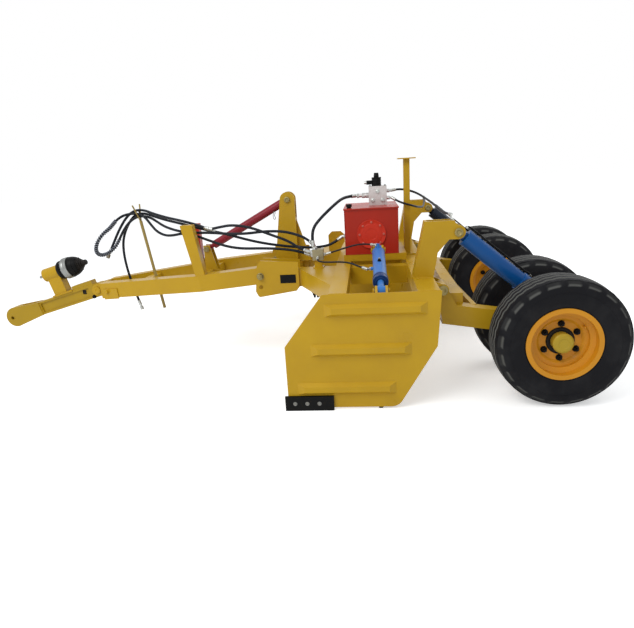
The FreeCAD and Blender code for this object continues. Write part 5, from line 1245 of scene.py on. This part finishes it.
pins("gooseneck_pin_heads", 0.026, two_faces(LIFT_X, LIFT_Y, 62, LIFT_Z))
pins("hinge_pin_heads", 0.031, two_faces(1290, LIFT_Y, 92, 640))
pins("lift_foot_pin_heads", 0.026, two_faces(1890, LIFT_Y, 55, 560), "wheel_frame")
pins("stay_pin_heads", 0.022, two_faces(-450, 0, 54, 826)[:2])
pins("tower_pin_heads", 0.022, two_faces(226, 0, 59, 1182)[:2])
pins("hitch_pin_heads", 0.027, [(on_tongue(0, t * 72.5, 0), (0, t, 0)) for t in (-1, 1)],
     finish=YELLOW)
pins("cross_pin_heads", 0.019, [(at(907 + t * 42, y, z), (t, 0, 0)) for t in (-1, 1)
                                for y, z in ((-430, 825), (-1180, 705))], finish=YELLOW)
print("pin heads set")

# %% [markdown]
# ## Bolts in the plates
#
# Nuts close the clamps round the drawbar, and two painted bolts hold its nose.
# The side knives and the cutting edge wear out, so plow bolts hold them: their
# flat heads lie nearly flush and let the soil slide past. That head is lathe
# work, modelled once and copied.

# %% Clamp nuts, nose bolts, plow bolts and studs
nut = bolt_head(0.036, stud=0.004)
set_out(nut, [(at(44, s * y, 664), (0, s * way, 0)) for s in (-1, 1)
              for y, way in ((416, 1), (284, -1))], "clamp_nuts", "frame", PIN)
scrap(nut)
nut = bolt_head(0.024)
set_out(nut, [((-1.2862, s * 0.1692, 0.538), (-0.271, s * 0.963, 0)) for s in (-1, 1)],
        "nose_bolts", "frame", YELLOW)
scrap(nut)
plow_head = lathe([(-0.0005, 0.0130), (0.0020, 0.0126), (0.0026, 0.0108), (0.0008, 0.0092),
                   (0.0005, 0.0050), (0.0016, 0.0036), (0.0016, 0.0)], steps=28)
set_out(plow_head, [(at(x, s * 1276, 47), (0, s, 0)) for s in (-1, 1) for x in (370, 444, 518)],
        "knife_bolts", "frame", WORN)
set_out(plow_head, [(at(921.1, -1150 + k * 209.09, 56.3), (-0.766, 0, 0.643))
                    for k in range(12)], "cutting_edge_bolts", "frame", WORN)
scrap(plow_head)
stud = bolt_head(0.026, stud=0.016)
set_out(stud, [(at(x, -600, 576), (0, 0, -1)) for x in (456, 478)], "brace_studs",
        "frame", BLACK)
scrap(stud)
print("bolts set")

# %% [markdown]
# ## Pump on the tongue
#
# The tractor's power shaft turns a pump that stands on the tongue. From the
# front it is a bright shaft, a yellow collar, a black flange, a bright ring
# with bolts, a black cast body and a pleated rubber boot. The collar is a CAD
# part. The rest is lathe work on one axis, so each piece is an outline of
# heights and radii. The body takes the place of the plain CAD pump.

# %% Shaft, flange and ring
PUMP_HEIGHT = 246           # millimetres over the tongue's line
AHEAD = (on_tongue(1000, 0, 0) - on_tongue(0, 0, 0)).normalized()
pump_axis = on_tongue(0, 0, PUMP_HEIGHT)
turned("pump_shaft", [(0.2500, 0.0), (0.2500, 0.0110), (0.4720, 0.0110), (0.4740, 0.0095),
                      (0.4750, 0.0)], pump_axis, AHEAD, "hitch_tongue", STEEL, steps=24)
turned("pump_flange", [(0.2190, 0.0600), (0.2190, 0.0770), (0.2210, 0.0790), (0.2360, 0.0790),
                       (0.2380, 0.0745), (0.2440, 0.0745), (0.2460, 0.0780), (0.2620, 0.0770),
                       (0.2725, 0.0700), (0.2742, 0.0660), (0.2742, 0.0)],
       pump_axis, AHEAD, "hitch_tongue", BLACK, steps=56)
turned("pump_ring", [(0.1700, 0.0700), (0.1700, 0.0850), (0.1730, 0.0875), (0.1920, 0.0880),
                     (0.1940, 0.0866), (0.1980, 0.0866), (0.2000, 0.0880), (0.2185, 0.0880),
                     (0.2210, 0.0860), (0.2210, 0.0500)],
       pump_axis, AHEAD, "hitch_tongue", STEEL, steps=64)
print("shaft, flange and ring on the pump's axis")

# %% Body and boot
pump = turned("pump_body", [(0.1720, 0.0700), (0.1715, 0.0820), (0.1690, 0.0835),
                            (0.1600, 0.0832), (0.1580, 0.0805), (0.1550, 0.0805),
                            (0.1530, 0.0825), (0.1400, 0.0800), (0.1260, 0.0755),
                            (0.1245, 0.0720), (0.1200, 0.0710), (0.1185, 0.0725),
                            (0.1040, 0.0650), (0.0990, 0.0610), (0.0980, 0.0520),
                            (0.0980, 0.0)], pump_axis, AHEAD, "hitch_tongue", BLACK, steps=56)
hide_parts("hydraulic_pump")
pleats = [(0.1000, 0.0560), (0.0950, 0.0550)]
for k in range(3):
    t, r = 0.0900 - k * 0.0125, 0.0500 - k * 0.0100
    pleats += [(t, r - 0.0030), (t - 0.0045, r), (t - 0.0080, r - 0.0010)]
turned("pump_boot", pleats + [(0.0520, 0.0240), (0.0300, 0.0210), (0.0270, 0.0180),
                              (0.0270, 0.0)],
       pump_axis, AHEAD, "hitch_tongue", DARK_RUBBER_AND_PAINTED_SHADE, steps=40)
print("pump of", len(pleats) // 3, "pleats on the tongue")

# %% Bolts on the pump
SIDEWAYS = Vector((0, 1, 0))


def bolt_circle(t, radius, count, way):
    """Places on a circle round the pump's axis, all facing one way."""
    turns = [2 * pi * k / count for k in range(count)]
    return [(pump_axis + AHEAD * t + radius * (SIDEWAYS * cos(turn)
             + AHEAD.cross(SIDEWAYS) * sin(turn)), way) for turn in turns]


bolt = bolt_head(0.0080)
set_out(bolt, bolt_circle(0.2195, 0.0830, 8, AHEAD), "pump_ring_bolts", "hitch_tongue", STEEL)
set_out(bolt, bolt_circle(0.1000, 0.0580, 6, -AHEAD), "pump_cover_bolts", "hitch_tongue",
        BLACK)
scrap(bolt)
print("bolts on the pump's ring and cover")

# %% [markdown]
# ## Tongue
#
# The tongue swings on its pivot pin. A slot for a linch pin in each web is a
# shallow plate in the dark finish, painted shade for the slot's inside, and a
# bolt holds the wear strip below it.

# %% Slots and strip bolts
settle()
bpy.ops.mesh.primitive_cube_add(size=1, location=(0, 0, 0.0015))
slot = bpy.context.object
open_piece(slot)
bpy.ops.mesh.select_all(action="SELECT")
bpy.ops.transform.resize(value=(0.030, 0.034, 0.005))
pick_top(slot)
inset(0.004)
inset(0.001, -0.003)
close_piece(slot, 30)
# The dark plate is painted shade for the inside of the slot.
set_out(slot, [(on_tongue(134, s * 33, 16), (0, s, 0)) for s in (-1, 1)], "painted_shade_slots",
        "hitch_tongue", DARK_RUBBER_AND_PAINTED_SHADE)
scrap(slot)
bolt = bolt_head(0.022)
set_out(bolt, [(on_tongue(62, s * 45, -44), (0, s, 0)) for s in (-1, 1)], "strip_bolts",
        "hitch_tongue", BLACK)
scrap(bolt)
print("slots and strip bolts on the tongue")

# %% [markdown]
# ## Hairpin on the stay
#
# A spring clip, bent from one wire, hangs under the stay near its upper end.
# It is a bend and not lathe work, so the same helper as the oil pipes' shapes
# it.

# %% Hairpin
CLIP = [(0, 0), (0, -12), (-6, -22), (-7, -48), (-2, -60), (6, -62), (12, -54), (9, -44),
        (3, -30), (8, -18), (14, -8)]
bent_wire("stay_hairpin", [at(112 + x, -26, 1096 + z) for x, z in CLIP], 0.0024, 2,
          "frame", STEEL)
print("hairpin of", len(CLIP), "places on the stay")

# %% [markdown]
# ## Hitch bush
#
# A bush, painted over, lines the hitch hole at the tongue's tip. Its two rims
# show as low rings round the hole.

# %% Hitch bush
bush = lathe([(-0.002, 0.0147), (0.0012, 0.0147), (0.0018, 0.0160), (0.0018, 0.0190),
              (0.0008, 0.0205), (-0.002, 0.0205)], steps=36)
# The bush takes the tongue's yellow, which is darkened as painted shade.
set_out(bush, [(on_tongue(HITCH_HOLE, s * 57, 0), (0, s, 0)) for s in (-1, 1)], "hitch_bush",
        "hitch_tongue", TONGUE_YELLOW_PAINTED_SHADE)
scrap(bush)
print("bush in the hitch hole")

# %% [markdown]
# ## Welds
#
# The frame is plate and square tube, welded where they meet. Beads show at
# the posts, ribs, braces and feet. Each run of corners is a line on the joint,
# and the bead helper fills it with drops.

# %% Welds on the frame
runs = [foot(102, 283, -47, 47, 700), seam([(283, -6, 700), (383, -6, 700)]),
        seam([(283, 6, 700), (383, 6, 700)]), foot(1117, 1163, -23, 23, 726),
        foot(1117, 1203, -55, 55, 716)]
for s in (-1, 1):
    runs.append(foot(1110, 1236, s * 858 - 50, s * 858 + 50, 716))
    runs.append(seam([(345, s * 400, 690), (602, s * 400, 690)]))
    runs.append(seam([(602, s * 402, 700), (602, s * 960, 700)]))
    runs.append(seam([(345, s * 400, 577), (345, s * 400, 699)]))
    for x in (602, 706, 1110):
        runs.append(seam([(x, s * 302, 578), (x, s * 302, 700), (x, s * 398, 700),
                          (x, s * 398, 578)]))
    runs.append(seam([(706, s * 1250, 616), (706, s * 1250, 716), (602, s * 1250, 716)]))
    runs.append(seam([(1110, s * 1250, 616), (1110, s * 1250, 716), (1236, s * 1250, 716)]))
    runs.append(seam([(328, s * 400, 575), (328, s * 400, 700)]))
    for y in (416, 284):
        side = s * (400 if y > 400 else 300)
        runs.append(seam([(150, side, 576), (328, side, 576)]))
weld("frame_welds", runs, 0.0038)
print(len(runs), "runs on the frame")

# %% Welds on the drawbar, tongue and pump stand
draw_runs = [foot(-446, -374, -396, -326, 684)]
for s in (-1, 1):
    draw_runs.append(seam([(-475, s * 42, 660), (-375, s * 42, 660)]))
weld("drawbar_welds", draw_runs, 0.0038)
tongue_runs = []
for s in (-1, 1):
    tongue_runs.append([on_tongue(40, s * 40, 57), on_tongue(226, s * 40, 57)])
    tongue_runs.append([on_tongue(226, s * 51, 57), on_tongue(405, s * 51, 57)])
    tongue_runs.append([on_tongue(281, s * 39, 69), on_tongue(392, s * 39, 69)])
    tongue_runs.append([on_tongue(281, s * 39, 69), on_tongue(281, s * 39, 200)])
    tongue_runs.append([on_tongue(559, s * 46, -55), on_tongue(559, s * 46, 55)])
tongue_runs.append([on_tongue(281, -38, 69), on_tongue(281, 38, 69)])
weld("tongue_welds", tongue_runs, 0.0038, body="hitch_tongue")
print("drawbar and tongue welded")

# %% [markdown]
# ## Finishes on the CAD parts
#
# Every CAD part takes the finish that its real piece has. The parts are named
# for what they are, so a short list of names and finishes covers them all. A
# longer name stands before a shorter one that starts it, and everything that
# is not in the list is yellow.

# %% Dress the CAD parts
# The far lift barrel's near-black and the tongue's darker yellow are painted shade.
FINISHES = (
    ("tyre_", TYRE), ("rim_", RIM_ORANGE), ("hub_", CAP_YELLOW), ("spindles", ZINC),
    ("lift_barrel_left", BLUE), ("lift_barrel_right", FAR_CYLINDER_PAINTED_SHADE), ("lift_rod_", CHROME),
    ("cross_cylinder", LIGHT_BLUE), ("side_knives", BLACK), ("cutting_edge", BLACK),
    ("oil_tank", RED), ("valve_block", CASTING), ("solenoid", BLACK),
    ("stay_tower", YELLOW), ("stay", STAY_RED), ("jack_leg", RED), ("frame_pins", PIN),
    ("tongue", TONGUE_YELLOW_PAINTED_SHADE), ("hydraulic_pump", BLACK), ("nameplate", BLACK),
    ("hose_end_fittings", ZINC), ("hose_holder", ROD_OLIVE), ("hose_manifold", MANIFOLD),
    ("hose_", HOSE),
)


def finish_for(name):
    """The first finish whose name starts the part's name, else yellow."""
    for start, finish in FINISHES:
        if name.startswith(start):
            return finish
    return YELLOW


for name, node in NODES.items():
    dress(node, finish_for(name))
print(len(NODES), "CAD parts dressed")
